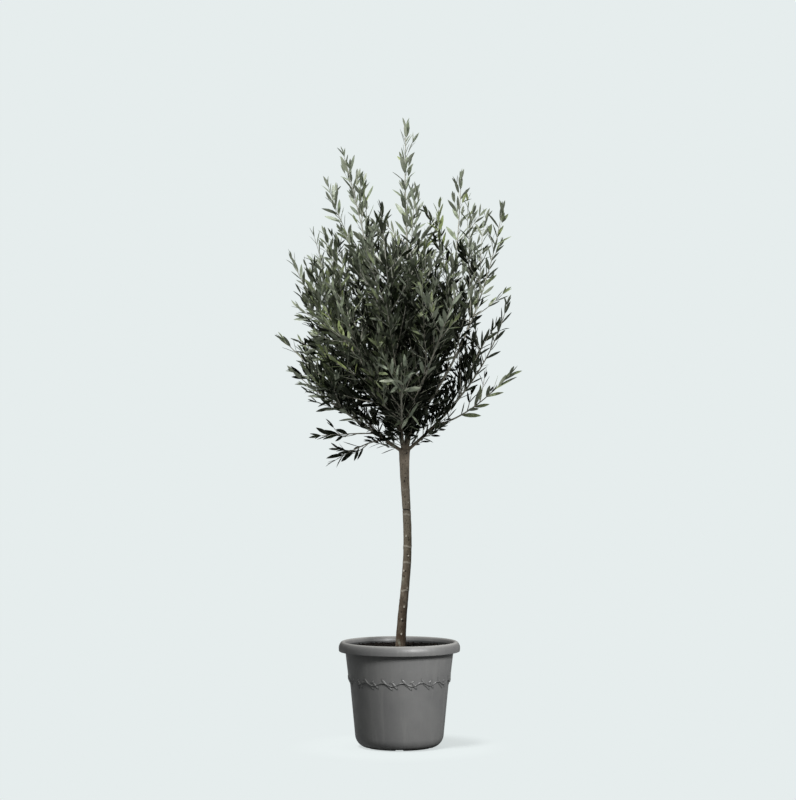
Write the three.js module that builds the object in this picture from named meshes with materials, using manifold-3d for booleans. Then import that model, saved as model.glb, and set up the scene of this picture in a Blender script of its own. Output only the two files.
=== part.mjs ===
// A young olive tree on a clear stem, in a round moulded plastic pot.
// Millimetres, +Z up. The origin is the middle of the pot's underside, and -Y is the front.
import * as THREE from "three";
import { mergeVertices } from "three/addons/utils/BufferGeometryUtils.js";
import Module from "manifold-3d";

const wasm = await Module();
wasm.setup();

// The pot: a tapered tub with a skirted rim, whose upper wall stands a little proud of the
// lower one, on a broadly rounded foot.
const POT_HEIGHT = 302;
const POT_SIDES = 36;
const WALL = 3.5;
const FOOT_RADIUS = 90;
const FOOT_ROUND = 37;
const LOWER_WALL_RADIUS = 141; // under the step
const STEP_HEIGHT = 184;
const STEP_DEPTH = 3;
const UPPER_WALL_RADIUS = 155; // under the rim
const RIM_RADIUS = 174;
const RIM_SKIRT = 28;
const RIM_ROUND = 8; // along its upper edge
const RIM_BEVEL = 3.5; // along its lower edge
const RIM_MOUTH_RADIUS = 152;
const PAD_RADIUS = 60; // the flat middle of the underside
const CHANNEL_RADIUS = 80; // the drain channel runs from the pad out to here
const CHANNEL_DEPTH = 4;
const FLOOR = 8;
const FLOOR_RADIUS = 103;
const DRAIN_COUNT = 6;
const DRAIN_RADIUS = 6;
const NOTCH_WIDTH = 22;

// The soil, and the trunk that stands on it.
const GAP = 0.3; // between pieces that touch
const SOIL_HEIGHT = 286;
const TRUNK_FOOT_X = 3.7;
const TRUNK_TOP_X = 14.5;
const TRUNK_TOP = 850;
const TRUNK_BOW = 14; // how far the stem swings to the right between foot and fork
const TRUNK_RADIUS = 11.6;
const FLARE = 4; // more radius at the foot
const FLARE_HEIGHT = 90;
const SWELL = 4.6; // more radius under the fork
const SWELL_HEIGHT = 70;
const TRUNK_SIDES = 12;
const FORK_SHARE = 0.985; // how far up the trunk's middle line its limbs start
const STUB = 48; // the fork's stubs belong to the trunk

// The limbs. Each runs in one curve from its foot to the tip of its last leaf: the first stretch
// is a bare bough, and the rest is the stem of one mass of foliage. azimuth is the direction that
// the tip lies in, from +X towards +Y, and reach and top say how far out and how high it is. lean
// and tipLean are the angles from upright that the limb starts and ends at. foot is how far along
// its parent it starts, and spray is how long its side shoots grow, as a share of the usual.
const LIMBS = [
  { name: "leader", from: "trunk", azimuth: 5, lean: 15,
    reach: 22, top: 1807, bare: 135, radius: 9 },
  { name: "upper_left", from: "trunk", azimuth: 193, lean: 14,
    reach: 172, top: 1721, bare: 130, radius: 6, tipLean: 17 },
  { name: "upper_back", from: "trunk", azimuth: 72, lean: 27,
    reach: 185, top: 1610, bare: 125, radius: 6 },
  { name: "upper_front", from: "trunk", azimuth: 250, lean: 28,
    reach: 165, top: 1560, bare: 120, radius: 5.5 },
  { name: "low_left", from: "trunk", azimuth: 200, lean: 56,
    reach: 345, top: 1093, bare: 115, radius: 5.5 },
  { name: "right", from: "trunk", azimuth: 11, lean: 50,
    reach: 324, top: 1304, bare: 165, radius: 5, tipLean: 10 },
  { name: "upper_right", from: "leader", foot: 106, azimuth: 9, lean: 30,
    reach: 180, top: 1664, bare: 85, radius: 5, tipLean: 1 },
  { name: "right_shoulder", from: "leader", foot: 72, azimuth: 350, lean: 40,
    reach: 301, top: 1563, bare: 100, radius: 4.5, tipLean: 8 },
  { name: "low_right", from: "right", foot: 120, azimuth: 350, lean: 80,
    reach: 342, top: 1090, bare: 45, radius: 3, tipLean: 42, spray: 0.55 },
  { name: "left_shoulder", from: "upper_left", foot: 96, azimuth: 175, lean: 42,
    reach: 326, top: 1430, bare: 85, radius: 4.5, tipLean: 24 },
  { name: "front_left", from: "upper_left", foot: 72, azimuth: 230, lean: 52,
    reach: 320, top: 1350, bare: 90, radius: 4.2 },
  { name: "left", from: "low_left", foot: 85, azimuth: 184, lean: 42,
    reach: 355, top: 1188, bare: 75, radius: 4 },
  { name: "front_right", from: "upper_front", foot: 80, azimuth: 306, lean: 46,
    reach: 318, top: 1370, bare: 85, radius: 4.2 },
  { name: "low_front", from: "upper_front", foot: 58, azimuth: 271, lean: 66,
    reach: 322, top: 1120, bare: 75, radius: 4 },
  { name: "back_left", from: "upper_back", foot: 95, azimuth: 130, lean: 48,
    reach: 322, top: 1400, bare: 85, radius: 4.2 },
  { name: "back_right", from: "upper_back", foot: 78, azimuth: 46, lean: 50,
    reach: 325, top: 1340, bare: 85, radius: 4.2 },
  { name: "low_back", from: "upper_back", foot: 60, azimuth: 97, lean: 68,
    reach: 322, top: 1140, bare: 75, radius: 4 },
  { name: "upper_sprig", from: "low_left", foot: 105, azimuth: 200, lean: 92,
    reach: 272, top: 887, bare: 35, radius: 2.4, tipLean: 98, spray: 0.4 },
  { name: "lower_sprig", from: "low_left", foot: 66, azimuth: 190, lean: 84,
    reach: 216, top: 805, bare: 35, radius: 2.4, tipLean: 118, spray: 0.45 },
];

// Long shoots that stand out of a mass: foot is how far up the mass's stem they start.
const LEADS = [
  { mass: "upper_left", foot: 0.42, azimuth: 190, reach: 216, top: 1635 },
  { mass: "upper_left", foot: 0.5, azimuth: 150, reach: 130, top: 1658 },
  { mass: "left_shoulder", foot: 0.45, azimuth: 187, reach: 258, top: 1492 },
  { mass: "leader", foot: 0.42, azimuth: 300, reach: 100, top: 1615 },
  { mass: "upper_right", foot: 0.4, azimuth: 25, reach: 135, top: 1583 },
  { mass: "right_shoulder", foot: 0.38, azimuth: 345, reach: 226, top: 1555 },
  { mass: "right_shoulder", foot: 0.5, azimuth: 8, reach: 262, top: 1549 },
  { mass: "upper_back", foot: 0.45, azimuth: 95, reach: 200, top: 1500 },
  { mass: "upper_front", foot: 0.4, azimuth: 232, reach: 185, top: 1470 },
  { mass: "low_front", foot: 0.15, azimuth: 262, reach: 285, top: 1290 },
  { mass: "front_right", foot: 0.2, azimuth: 285, reach: 270, top: 1390 },
  { mass: "low_back", foot: 0.15, azimuth: 88, reach: 285, top: 1300 },
  { mass: "right", foot: 0.12, azimuth: 350, reach: 300, top: 1230 },
  { mass: "low_left", foot: 0.2, azimuth: 212, reach: 300, top: 1190 },
];
const TIP_RADIUS = 1.5;
const TIP_LEAN = 4; // degrees from upright at the very top
const TIP_LEAN_GAIN = 0.065; // more degrees for each millimetre that a tip is lower
const START_HANDLE = 0.26; // share of a limb's chord that holds its starting direction
const TIP_HANDLE = 0.4; // and the direction of its tip
const LEAD_LEAN = 20; // degrees from upright of the way that a long shoot starts in
const BOUGH_SIDES = 6;
const BOUGH_RING = 38; // between the rings of a bough's surface
const BOUGH_STEPS = 8; // stretches of a bough and of a stem where clearances are measured
const STEM_STEPS = 24;

// The growth of one mass: side shoots spiral up its stem and turn upwards, and pairs of leaves
// stand along shoots and stem, each pair at a right angle to the last.
const GOLDEN_ANGLE = 137.5;
const SHOOT_SPACING = 22;
const KEEP_EVERY = 3; // the solids have one shoot in three
const SHOOT_LONG = 260; // low on a stem, with its last leaf
const SHOOT_SHORT = 130; // near its tip
const TOP_STRETCH = 190; // a stem's tip has leaves but no side shoots
const SHOOT_SPREAD = 48; // degrees from the stem
const SHOOT_LIFT = 0.34; // how strongly a shoot turns upwards
const SHOOT_RADIUS = 2.3;
const SHOOT_TAPER = 0.003; // less radius for each millimetre
const LEAFY = 0.8; // the share of a shoot that bears leaves
const STEM_SIDES = 4;
const TWIG_SIDES = 3;
const SHOOT_REACH = 338; // no shoot goes further from the tree's middle than this
const LEAF_LENGTH = 88;
const LEAF_WIDTH = 28;
const LEAF_THICK = 2.8;
const LEAF_SPACING = 46;
const LEAF_ANGLE = 40; // degrees from the twig
const LEAF_ROLL = 50; // degrees that a leaf is twisted about its midrib
const LEAF_SIZES = [1, 0.75]; // a leaf that has no room is tried again smaller
const LEAF_CLEAR = 17; // the least distance between the middles of two leaves
const LEAF_ROOT = 1; // how far past the twig's middle a leaf is sunk
const LEAF_GAP = 2; // how much nearer a leaf is to its own mass's stem than to another's
const TWIG_GAP = 6; // and the middle of a twig
const LIMB_GAP = 1.2; // between a leaf and any bough
const FORK_CLEAR = 40; // below the fork, no leaf is nearer to the trunk's middle than this
const WOOD_STEP = 8; // a shoot's wood is measured out in steps of this
const SEED = 4201;

const UP = new THREE.Vector3(0, 0, 1);
const POT_GREY = { color: 0x5b5d5d, roughness: 0.55, metalness: 0 };
const SOIL_BROWN = { color: 0x17120e, roughness: 1, metalness: 0 };
const BARK = { color: 0x6a6052, roughness: 0.9, metalness: 0 };
const OLIVE_GREEN = { color: 0x4c5646, roughness: 0.6, metalness: 0 };

const tree = new THREE.Group();

// ---------------------------------------------------------------- solids

const radians = THREE.MathUtils.degToRad;
const vector = (x, y, z) => new THREE.Vector3(x, y, z);

function solid(geometry) {
  const bare = geometry.clone();
  bare.deleteAttribute("normal");
  bare.deleteAttribute("uv");
  const merged = mergeVertices(bare, 1e-4);
  const vertProperties = merged.attributes.position.array;
  const triVerts = new Uint32Array(merged.index.array);
  return new wasm.Manifold(new wasm.Mesh({ numProp: 3, vertProperties, triVerts }));
}

// The largest body of a solid, without loose scraps or sealed hollows.
function largest(whole) {
  const bodies = whole.decompose();
  return bodies.reduce((best, body) => (body.volume() > best.volume() ? body : best));
}

function addNode(name, shape, material) {
  const mesh = shape.getMesh();
  const geometry = new THREE.BufferGeometry();
  const places = new Float32Array(mesh.vertProperties);
  geometry.setAttribute("position", new THREE.BufferAttribute(places, 3));
  geometry.setIndex(new THREE.BufferAttribute(new Uint32Array(mesh.triVerts), 1));
  geometry.computeVertexNormals();
  const node = new THREE.Mesh(geometry, new THREE.MeshStandardMaterial(material));
  node.name = name;
  tree.add(node);
}

// A closed ring or disc turned about the Z axis, from a list of [radius, height].
function turned(profile, sides) {
  const points = profile.map(([radius, height]) => new THREE.Vector2(radius, height));
  return solid(new THREE.LatheGeometry(points, sides).rotateX(Math.PI / 2));
}

// Points of a quarter turn or less, in degrees from the outward radius.
function arc(middle, radius, from, to, steps) {
  const points = [];
  for (let k = 0; k <= steps; k++) {
    const angle = radians(from + ((to - from) * k) / steps);
    points.push([middle[0] + radius * Math.cos(angle), middle[1] + radius * Math.sin(angle)]);
  }
  return points;
}

// A tapering limb: a lathe turned straight, then bent along the stretch of a curve that lies
// between two lengths along it. radiusAt takes such a length.
function limbGeometry(curve, from, to, radiusAt, sides, rings) {
  const length = curve.getLength();
  const profile = [new THREE.Vector2(0, from)];
  for (let k = 0; k <= rings; k++) {
    const along = THREE.MathUtils.lerp(from, to, k / rings);
    profile.push(new THREE.Vector2(radiusAt(along), along));
  }
  profile.push(new THREE.Vector2(0, to));
  const lathe = new THREE.LatheGeometry(profile, sides);
  const places = lathe.attributes.position;
  for (let k = 0; k < places.count; k++) {
    const at = Math.min(places.getY(k) / length, 1);
    const [level, across] = sidesOf(curve, curve.getTangentAt(at));
    const point = curve.getPointAt(at);
    point.addScaledVector(level, places.getX(k)).addScaledVector(across, -places.getZ(k));
    places.setXYZ(k, point.x, point.y, point.z);
  }
  return lathe;
}

// The two directions at right angles to a curve's tangent: one across the upright plane
// through the curve's ends, and one in that plane.
function sidesOf(curve, tangent) {
  const plane = curve.getPointAt(1).sub(curve.getPointAt(0)).cross(UP);
  if (plane.length() < 1) plane.set(0, 1, 0);
  const across = vector().crossVectors(tangent, plane).normalize();
  return [vector().crossVectors(across, tangent), across];
}

// Points along the stretch of a curve between two lengths along it.
function pointsOf(curve, from, to, steps) {
  const points = [];
  for (let k = 0; k <= steps; k++) {
    points.push(curve.getPointAt(THREE.MathUtils.lerp(from, to, k / steps) / curve.getLength()));
  }
  return points;
}

// ---------------------------------------------------------------- pot and soil

function potSolid() {
  const under = POT_HEIGHT - RIM_SKIRT;
  const inside = [
    [RIM_MOUTH_RADIUS, POT_HEIGHT - RIM_ROUND],
    [UPPER_WALL_RADIUS - WALL, under],
    [LOWER_WALL_RADIUS - WALL, STEP_HEIGHT],
    ...arc([FOOT_RADIUS, FOOT_ROUND], FOOT_ROUND - WALL, -6, -45, 1),
    [FLOOR_RADIUS, FLOOR],
  ];
  const profile = [
    [0, 0],
    [PAD_RADIUS, 0],
    [PAD_RADIUS + 2, CHANNEL_DEPTH],
    [CHANNEL_RADIUS - 2, CHANNEL_DEPTH],
    [CHANNEL_RADIUS, 0],
    ...arc([FOOT_RADIUS, FOOT_ROUND], FOOT_ROUND, -90, -6, 3),
    [LOWER_WALL_RADIUS, STEP_HEIGHT - STEP_DEPTH],
    [LOWER_WALL_RADIUS + STEP_DEPTH, STEP_HEIGHT + STEP_DEPTH],
    [UPPER_WALL_RADIUS, under],
    [UPPER_WALL_RADIUS, POT_HEIGHT - WALL - RIM_ROUND / 2],
    [RIM_RADIUS - WALL, POT_HEIGHT - WALL - RIM_ROUND / 2],
    [RIM_RADIUS - WALL, under],
    [RIM_RADIUS - RIM_BEVEL / 2, under],
    [RIM_RADIUS, under + RIM_BEVEL],
    ...arc([RIM_RADIUS - RIM_ROUND, POT_HEIGHT - RIM_ROUND], RIM_ROUND, 0, 90, 2),
    [RIM_MOUTH_RADIUS + RIM_ROUND, POT_HEIGHT],
    ...inside,
    [0, FLOOR],
  ];
  const tools = [];
  for (let k = 0; k < DRAIN_COUNT; k++) {
    const turn = (2 * Math.PI * k) / DRAIN_COUNT - Math.PI / 2;
    const drainAt = (PAD_RADIUS + CHANNEL_RADIUS) / 2;
    const drain = new THREE.CylinderGeometry(DRAIN_RADIUS, DRAIN_RADIUS, 4 * FLOOR, 12);
    drain.rotateX(Math.PI / 2).translate(drainAt, 0, 0).rotateZ(turn + Math.PI / DRAIN_COUNT);
    const notch = new THREE.BoxGeometry(2 * FOOT_ROUND, NOTCH_WIDTH, 2 * CHANNEL_DEPTH);
    notch.translate(CHANNEL_RADIUS + FOOT_ROUND - CHANNEL_DEPTH, 0, 0).rotateZ(turn);
    tools.push(solid(drain), solid(notch));
  }
  return { shell: turned(profile, POT_SIDES).subtract(wasm.Manifold.union(tools)), inside };
}

function soilSolid([, upper, ...lower]) {
  const topShare = (SOIL_HEIGHT - upper[1]) / (POT_HEIGHT - RIM_ROUND - upper[1]);
  const topRadius = upper[0] + (RIM_MOUTH_RADIUS - upper[0]) * topShare;
  const wall = [...lower.reverse(), upper].map(([radius, height]) => [radius - 2 * GAP, height + GAP]);
  const top = [topRadius - 2 * GAP, SOIL_HEIGHT];
  return turned([[0, FLOOR + GAP], ...wall, top, [0, SOIL_HEIGHT]], POT_SIDES);
}

// ---------------------------------------------------------------- limbs

// The trunk's middle line: it leans, and swings to the right between foot and fork. It starts a
// little below the soil's top, where the trunk is then cut flat.
function trunkCurve() {
  const points = [];
  for (let k = -1; k <= 16; k++) {
    const share = k / 16;
    const swing = TRUNK_BOW * Math.sin(Math.PI * share) ** 2;
    const x = THREE.MathUtils.lerp(TRUNK_FOOT_X, TRUNK_TOP_X, share) + swing;
    const z = THREE.MathUtils.lerp(SOIL_HEIGHT, TRUNK_TOP, share);
    points.push(vector(x, -0.3 * swing, z));
  }
  return new THREE.CatmullRomCurve3(points);
}

function trunkRadius(along) {
  const height = along - (TRUNK_TOP - SOIL_HEIGHT) / 16;
  const flare = FLARE * Math.exp(-height / FLARE_HEIGHT);
  const swell = SWELL * Math.exp((height - (TRUNK_TOP - SOIL_HEIGHT)) / SWELL_HEIGHT);
  return TRUNK_RADIUS + flare + swell;
}

const leaning = (degrees, azimuth) =>
  vector(
    Math.sin(radians(degrees)) * Math.cos(radians(azimuth)),
    Math.sin(radians(degrees)) * Math.sin(radians(azimuth)),
    Math.cos(radians(degrees)),
  );

// A curve from a foot to a tip that starts and ends in given directions.
function bend(foot, startWay, tip, tipWay) {
  const chord = tip.distanceTo(foot);
  const start = foot.clone().addScaledVector(startWay, START_HANDLE * chord);
  const end = tip.clone().addScaledVector(tipWay, -TIP_HANDLE * chord);
  return new THREE.CubicBezierCurve3(foot, start, end, tip);
}

// The furthest leaf of a limb or a long shoot, and the direction that it points in.
function tipOf({ azimuth, reach, top, tipLean }) {
  const turn = radians(azimuth);
  const tip = vector(reach * Math.cos(turn), reach * Math.sin(turn), top);
  return [tip, leaning(tipLean ?? TIP_LEAN + (LIMBS[0].top - top) * TIP_LEAN_GAIN, azimuth)];
}

// Works out a limb's curve and lengths from its row, with its parent already done.
function growLimb(limb, trunk, limbs) {
  const parent = limbs.get(limb.from);
  const from = parent ? parent.curve : trunk;
  const foot = from.getPointAt(parent ? limb.foot / parent.length : FORK_SHARE);
  limb.curve = bend(foot, leaning(limb.lean, limb.azimuth), ...tipOf(limb));
  limb.curve.arcLengthDivisions = 400;
  limb.length = limb.curve.getLength();
  limb.wood = limb.length - LEAF_LENGTH + LEAF_ROOT;
  limb.parent = parent;
  limb.spray = limb.spray ?? 1;
  limbs.set(limb.name, limb);
}

function limbRadius(limb, along) {
  return TIP_RADIUS + (limb.radius - TIP_RADIUS) * (1 - Math.min(along / limb.wood, 1)) ** 1.3;
}

// A stretch of a limb as a solid, thicker all round by extra.
function limbSolid(limb, from, to, extra = 0) {
  const rings = Math.max(2, Math.round((to - from) / BOUGH_RING));
  const radiusAt = (along) => extra + limbRadius(limb, along);
  return solid(limbGeometry(limb.curve, from, to, radiusAt, BOUGH_SIDES, rings));
}

function trunkSolid(trunk, limbs) {
  const pieces = [solid(limbGeometry(trunk, 0, trunk.getLength(), trunkRadius, TRUNK_SIDES, 12))];
  for (const limb of limbs.values()) {
    if (!limb.parent) pieces.push(limbSolid(limb, 0, STUB));
  }
  return largest(wasm.Manifold.union(pieces)).trimByPlane([0, 0, 1], SOIL_HEIGHT + GAP);
}

function boughSolid(limb) {
  if (!limb.parent) return limbSolid(limb, STUB + GAP, limb.bare);
  const around = limbSolid(limb.parent, 0, limb.parent.bare + 10, 2 * GAP);
  return largest(limbSolid(limb, 0, limb.bare).subtract(around));
}

// ---------------------------------------------------------------- foliage

// Every random number comes from this one, so that the tree is always the same.
const seeded = (state) => () => (state = (state * 48271) % 2147483647) / 2147483647;

// The side shoots of a limb's stem.
function shootsOf(limb, index) {
  const random = seeded(SEED + 977 * index);
  const bearing = limb.length - limb.bare - TOP_STRETCH * limb.spray;
  const count = Math.max(3, Math.floor(bearing / SHOOT_SPACING));
  const shoots = [];
  for (let k = 0; k < count; k++) {
    const share = (k + 0.2 + 0.6 * random()) / count;
    const spin = radians(k * GOLDEN_ANGLE + 50 * random());
    const usual = THREE.MathUtils.lerp(SHOOT_LONG, SHOOT_SHORT, share);
    const size = usual * (0.75 + 0.45 * random()) * limb.spray;
    const spread = radians(SHOOT_SPREAD * (0.75 + 0.5 * random()));
    const at = (limb.bare + 6 + share * bearing) / limb.length;
    const tangent = limb.curve.getTangentAt(at);
    const [level, across] = sidesOf(limb.curve, tangent);
    const way = level.multiplyScalar(Math.cos(spin)).addScaledVector(across, Math.sin(spin));
    way.multiplyScalar(Math.sin(spread)).addScaledVector(tangent, Math.cos(spread));
    const lifted = way.clone().lerp(UP, SHOOT_LIFT).normalize();
    const foot = limb.curve.getPointAt(at);
    const middle = foot.clone().addScaledVector(way, size / 2);
    const tip = middle.clone().addScaledVector(lifted, size / 2);
    const over = Math.max(1, Math.hypot(tip.x, tip.y) / SHOOT_REACH);
    tip.x /= over;
    tip.y /= over;
    shoots.push(new THREE.QuadraticBezierCurve3(foot, middle, tip));
  }
  return shoots;
}

// The long shoots of a limb's mass.
function leadsOf(limb) {
  return LEADS.filter((lead) => lead.mass === limb.name).map((lead) => {
    const at = THREE.MathUtils.lerp(limb.bare, limb.wood, lead.foot) / limb.length;
    const way = leaning(LEAD_LEAN, lead.azimuth).add(limb.curve.getTangentAt(at)).normalize();
    return bend(limb.curve.getPointAt(at), way, ...tipOf(lead));
  });
}

// The places of the pairs of leaves on the last stretch of a twig, and of the leaf at its tip.
function leavesOf(curve, wood, leafy) {
  const leaves = [];
  const pairs = Math.round(leafy / LEAF_SPACING);
  for (let k = 0; k < pairs; k++) {
    const at = (wood - (pairs - k - 0.45) * LEAF_SPACING) / curve.getLength();
    if (at < 0) continue;
    const tangent = curve.getTangentAt(at);
    const [level, across] = sidesOf(curve, tangent);
    const turn = radians(45 + 90 * k);
    const side = level.multiplyScalar(Math.cos(turn)).addScaledVector(across, Math.sin(turn));
    const hinge = vector().crossVectors(tangent, side);
    for (const sign of [1, -1]) {
      const way = tangent.clone().applyAxisAngle(hinge, radians(sign * LEAF_ANGLE));
      const blade = hinge.clone().applyAxisAngle(way, radians(LEAF_ROLL));
      leaves.push({ foot: curve.getPointAt(at), way, blade });
    }
  }
  const end = wood / curve.getLength();
  const way = curve.getTangentAt(end);
  const blade = sidesOf(curve, way)[0].applyAxisAngle(way, radians(LEAF_ROLL));
  return [...leaves, { foot: curve.getPointAt(end), way, blade }];
}

// A leaf is a lathe of three sides, flattened: flat below, with a ridge along its upper face.
const LEAF_OUTLINE = [new THREE.Vector2(0, 0), new THREE.Vector2(1, 0.45), new THREE.Vector2(0, 1)];
function leafGeometry({ foot, way, blade }, size) {
  const leaf = new THREE.LatheGeometry(LEAF_OUTLINE, 3, Math.PI / 2);
  leaf.scale((LEAF_THICK * size) / 1.5, LEAF_LENGTH * size, (LEAF_WIDTH * size) / Math.sqrt(3));
  const frame = new THREE.Matrix4().makeBasis(vector().crossVectors(way, blade), way, blade);
  frame.setPosition(foot.clone().addScaledVector(way, -LEAF_ROOT));
  return leaf.applyMatrix4(frame);
}

function distanceTo(line, point) {
  const nearest = vector();
  let least = Infinity;
  for (let k = 1; k < line.length; k++) {
    new THREE.Line3(line[k - 1], line[k]).closestPointToPoint(point, true, nearest);
    least = Math.min(least, nearest.distanceTo(point));
  }
  return least;
}

// True if a point keeps to the space of limb's mass: nearer to its stem, by a margin, than to any
// other mass's stem, and clear of every bough and of the trunk.
function hasRoom(point, limb, limbs, margin) {
  const own = distanceTo(limb.stemLine, point) + margin;
  for (const other of limbs.values()) {
    if (other !== limb && distanceTo(other.stemLine, point) < own) return false;
    if (distanceTo(other.boughLine, point) < other.radius + LIMB_GAP) return false;
  }
  return point.z > TRUNK_TOP || Math.hypot(point.x - TRUNK_TOP_X, point.y) > FORK_CLEAR;
}

function leafHasRoom(geometry, limb, limbs) {
  const places = geometry.attributes.position;
  const points = [];
  for (let k = 0; k < places.count; k++) points.push(vector().fromBufferAttribute(places, k));
  const halfway = points.map((point, k) => point.clone().lerp(points[(k + 1) % points.length], 0.5));
  return [...points, ...halfway].every((point) => hasRoom(point, limb, limbs, LEAF_GAP));
}

// How much of a shoot's wood there is before it would leave its mass's space.
function woodOf(curve, limb, limbs) {
  const length = curve.getLength();
  const whole = length - LEAF_LENGTH + LEAF_ROOT;
  let wood = 0;
  while (wood < whole) {
    const next = Math.min(wood + WOOD_STEP, whole);
    if (!hasRoom(curve.getPointAt(next / length), limb, limbs, TWIG_GAP)) break;
    wood = next;
  }
  return wood;
}

const shootRadius = (along) => SHOOT_RADIUS - SHOOT_TAPER * along;

function foliageSolid(limb, index, limbs) {
  const stemRadius = (along) => limbRadius(limb, along);
  const stem = limbGeometry(limb.curve, limb.bare + GAP, limb.wood, stemRadius, STEM_SIDES, 6);
  const pieces = [solid(stem)];
  const middles = [];
  const addLeaves = (leaves) => {
    for (const leaf of leaves) {
      const size = LEAF_SIZES.find((share) => leafHasRoom(leafGeometry(leaf, share), limb, limbs));
      const middle = leaf.foot.clone().addScaledVector(leaf.way, LEAF_LENGTH / 2);
      if (!size || middles.some((other) => other.distanceTo(middle) < LEAF_CLEAR)) continue;
      middles.push(middle);
      pieces.push(solid(leafGeometry(leaf, size)));
    }
  };
  addLeaves(leavesOf(limb.curve, limb.wood, TOP_STRETCH * limb.spray));
  const kept = shootsOf(limb, index).filter((shoot, k) => k % KEEP_EVERY === 0);
  for (const shoot of [...leadsOf(limb), ...kept]) {
    const wood = woodOf(shoot, limb, limbs);
    if (wood < LEAF_SPACING) continue;
    pieces.push(solid(limbGeometry(shoot, 0, wood, shootRadius, TWIG_SIDES, 2)));
    addLeaves(leavesOf(shoot, wood, LEAFY * wood));
  }
  return largest(wasm.Manifold.union(pieces));
}

// ---------------------------------------------------------------- the tree

const pot = potSolid();
addNode("pot", pot.shell, POT_GREY);
addNode("soil", soilSolid(pot.inside), SOIL_BROWN);

const trunk = trunkCurve();
const limbs = new Map();
for (const limb of LIMBS) growLimb(limb, trunk, limbs);
for (const limb of limbs.values()) {
  limb.boughLine = pointsOf(limb.curve, 0, limb.bare, BOUGH_STEPS);
  limb.stemLine = pointsOf(limb.curve, limb.bare, limb.length, STEM_STEPS);
}
addNode("trunk", trunkSolid(trunk, limbs), BARK);
[...limbs.values()].forEach((limb, index) => {
  addNode("bough_" + limb.name, boughSolid(limb), BARK);
  addNode("foliage_" + limb.name, foliageSolid(limb, index, limbs), OLIVE_GREEN);
});

export default tree;
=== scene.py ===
# %% [markdown]
# # A young olive tree in a moulded pot
# A nursery grows a young olive on one clear stem, lets the head fill out, and sells it in a
# plastic pot. The part's solids already hold the pot, the soil, the trunk, the boughs and one
# sparse solid for each mass of foliage. This lesson dresses them: it turns the pot's true
# profile, piles up soil, grows bark over the fork, and carries each mass on to fine twigs and
# thousands of leaves. Sizes are in millimetres until a mesh is made.

import math

import bpy
import numpy as np
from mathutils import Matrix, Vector, noise


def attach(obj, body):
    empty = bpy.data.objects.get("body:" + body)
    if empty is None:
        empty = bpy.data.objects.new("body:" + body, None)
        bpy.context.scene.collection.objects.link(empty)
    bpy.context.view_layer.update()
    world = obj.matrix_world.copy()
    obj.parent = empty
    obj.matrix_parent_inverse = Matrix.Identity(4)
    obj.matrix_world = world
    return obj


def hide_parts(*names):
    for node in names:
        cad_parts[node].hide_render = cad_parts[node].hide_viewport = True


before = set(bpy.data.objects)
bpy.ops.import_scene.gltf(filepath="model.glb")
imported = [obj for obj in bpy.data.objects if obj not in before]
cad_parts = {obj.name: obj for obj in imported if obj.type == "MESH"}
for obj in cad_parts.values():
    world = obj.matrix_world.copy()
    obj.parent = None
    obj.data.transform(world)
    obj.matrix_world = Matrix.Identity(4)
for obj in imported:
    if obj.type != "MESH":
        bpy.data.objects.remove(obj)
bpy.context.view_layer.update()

# %% [markdown]
# ## Meshes from arrays
# A tree is far too many small shapes to model by hand, and Blender is slow at adding them one
# by one. It is quick at taking a whole mesh at once, as one array of points and one of faces.
# So every piece here is worked out with numpy first and handed over by one small function.

# %% A mesh from arrays
MM = 0.001
SHARP = math.radians(50)


def make_piece(name, points, quads, triangles=(), materials=(), slots=None):
    """A smooth mesh object. slots numbers each face's material, quads first."""
    quads = np.asarray(quads, dtype=np.int32).reshape(-1, 4)
    triangles = np.asarray(triangles, dtype=np.int32).reshape(-1, 3)
    mesh = bpy.data.meshes.new(name)
    mesh.vertices.add(len(points))
    mesh.vertices.foreach_set("co", (np.asarray(points) * MM).astype(np.float32).ravel())
    mesh.loops.add(quads.size + triangles.size)
    mesh.loops.foreach_set("vertex_index", np.concatenate([quads.ravel(), triangles.ravel()]))
    mesh.polygons.add(len(quads) + len(triangles))
    starts = [4 * np.arange(len(quads)), quads.size + 3 * np.arange(len(triangles))]
    mesh.polygons.foreach_set("loop_start", np.concatenate(starts).astype(np.int32))
    mesh.update(calc_edges=True)
    mesh.validate()
    for material in materials:
        mesh.materials.append(material)
    if slots is not None:
        mesh.polygons.foreach_set("material_index", np.asarray(slots, dtype=np.int32))
    mesh.shade_smooth()
    mesh.set_sharp_from_angle(angle=SHARP)
    piece = bpy.data.objects.new(name, mesh)
    bpy.context.scene.collection.objects.link(piece)
    return piece


def grid_faces(rows, columns, closed=True):
    """The quads between rows of points; closed joins each row's end to its start."""
    across = np.arange(columns if closed else columns - 1)
    along = np.arange(rows - 1)[:, None] * columns
    next_across = (across + 1) % columns
    corners = [along + across, along + next_across]
    corners += [along + columns + next_across, along + columns + across]
    return np.stack(corners, axis=-1).reshape(-1, 4)


def hand_over(piece, slot, *nodes):
    """The piece rides on the body and stands for CAD nodes; slot is not used."""
    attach(piece, "root")
    if nodes:
        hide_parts(*nodes)
    print(f"{piece.name}: {len(piece.data.polygons)} faces")


print("three rings of four points have", len(grid_faces(3, 4)), "faces between them")

# %% [markdown]
# ## Materials from small parts
# A finish that looks real is rarely one colour: plastic has grain and dust, bark has patches,
# soil has crumbs. All of these are a fine noise that sways a colour and raises a surface, so
# that noise is made once, as a node group with named inputs, and each material sets its own
# scale and strength. The shader itself stays in the material.

# %% Nodes in one line
NUMBER, COLOUR, VECTOR = "NodeSocketFloat", "NodeSocketColor", "NodeSocketVector"


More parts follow.
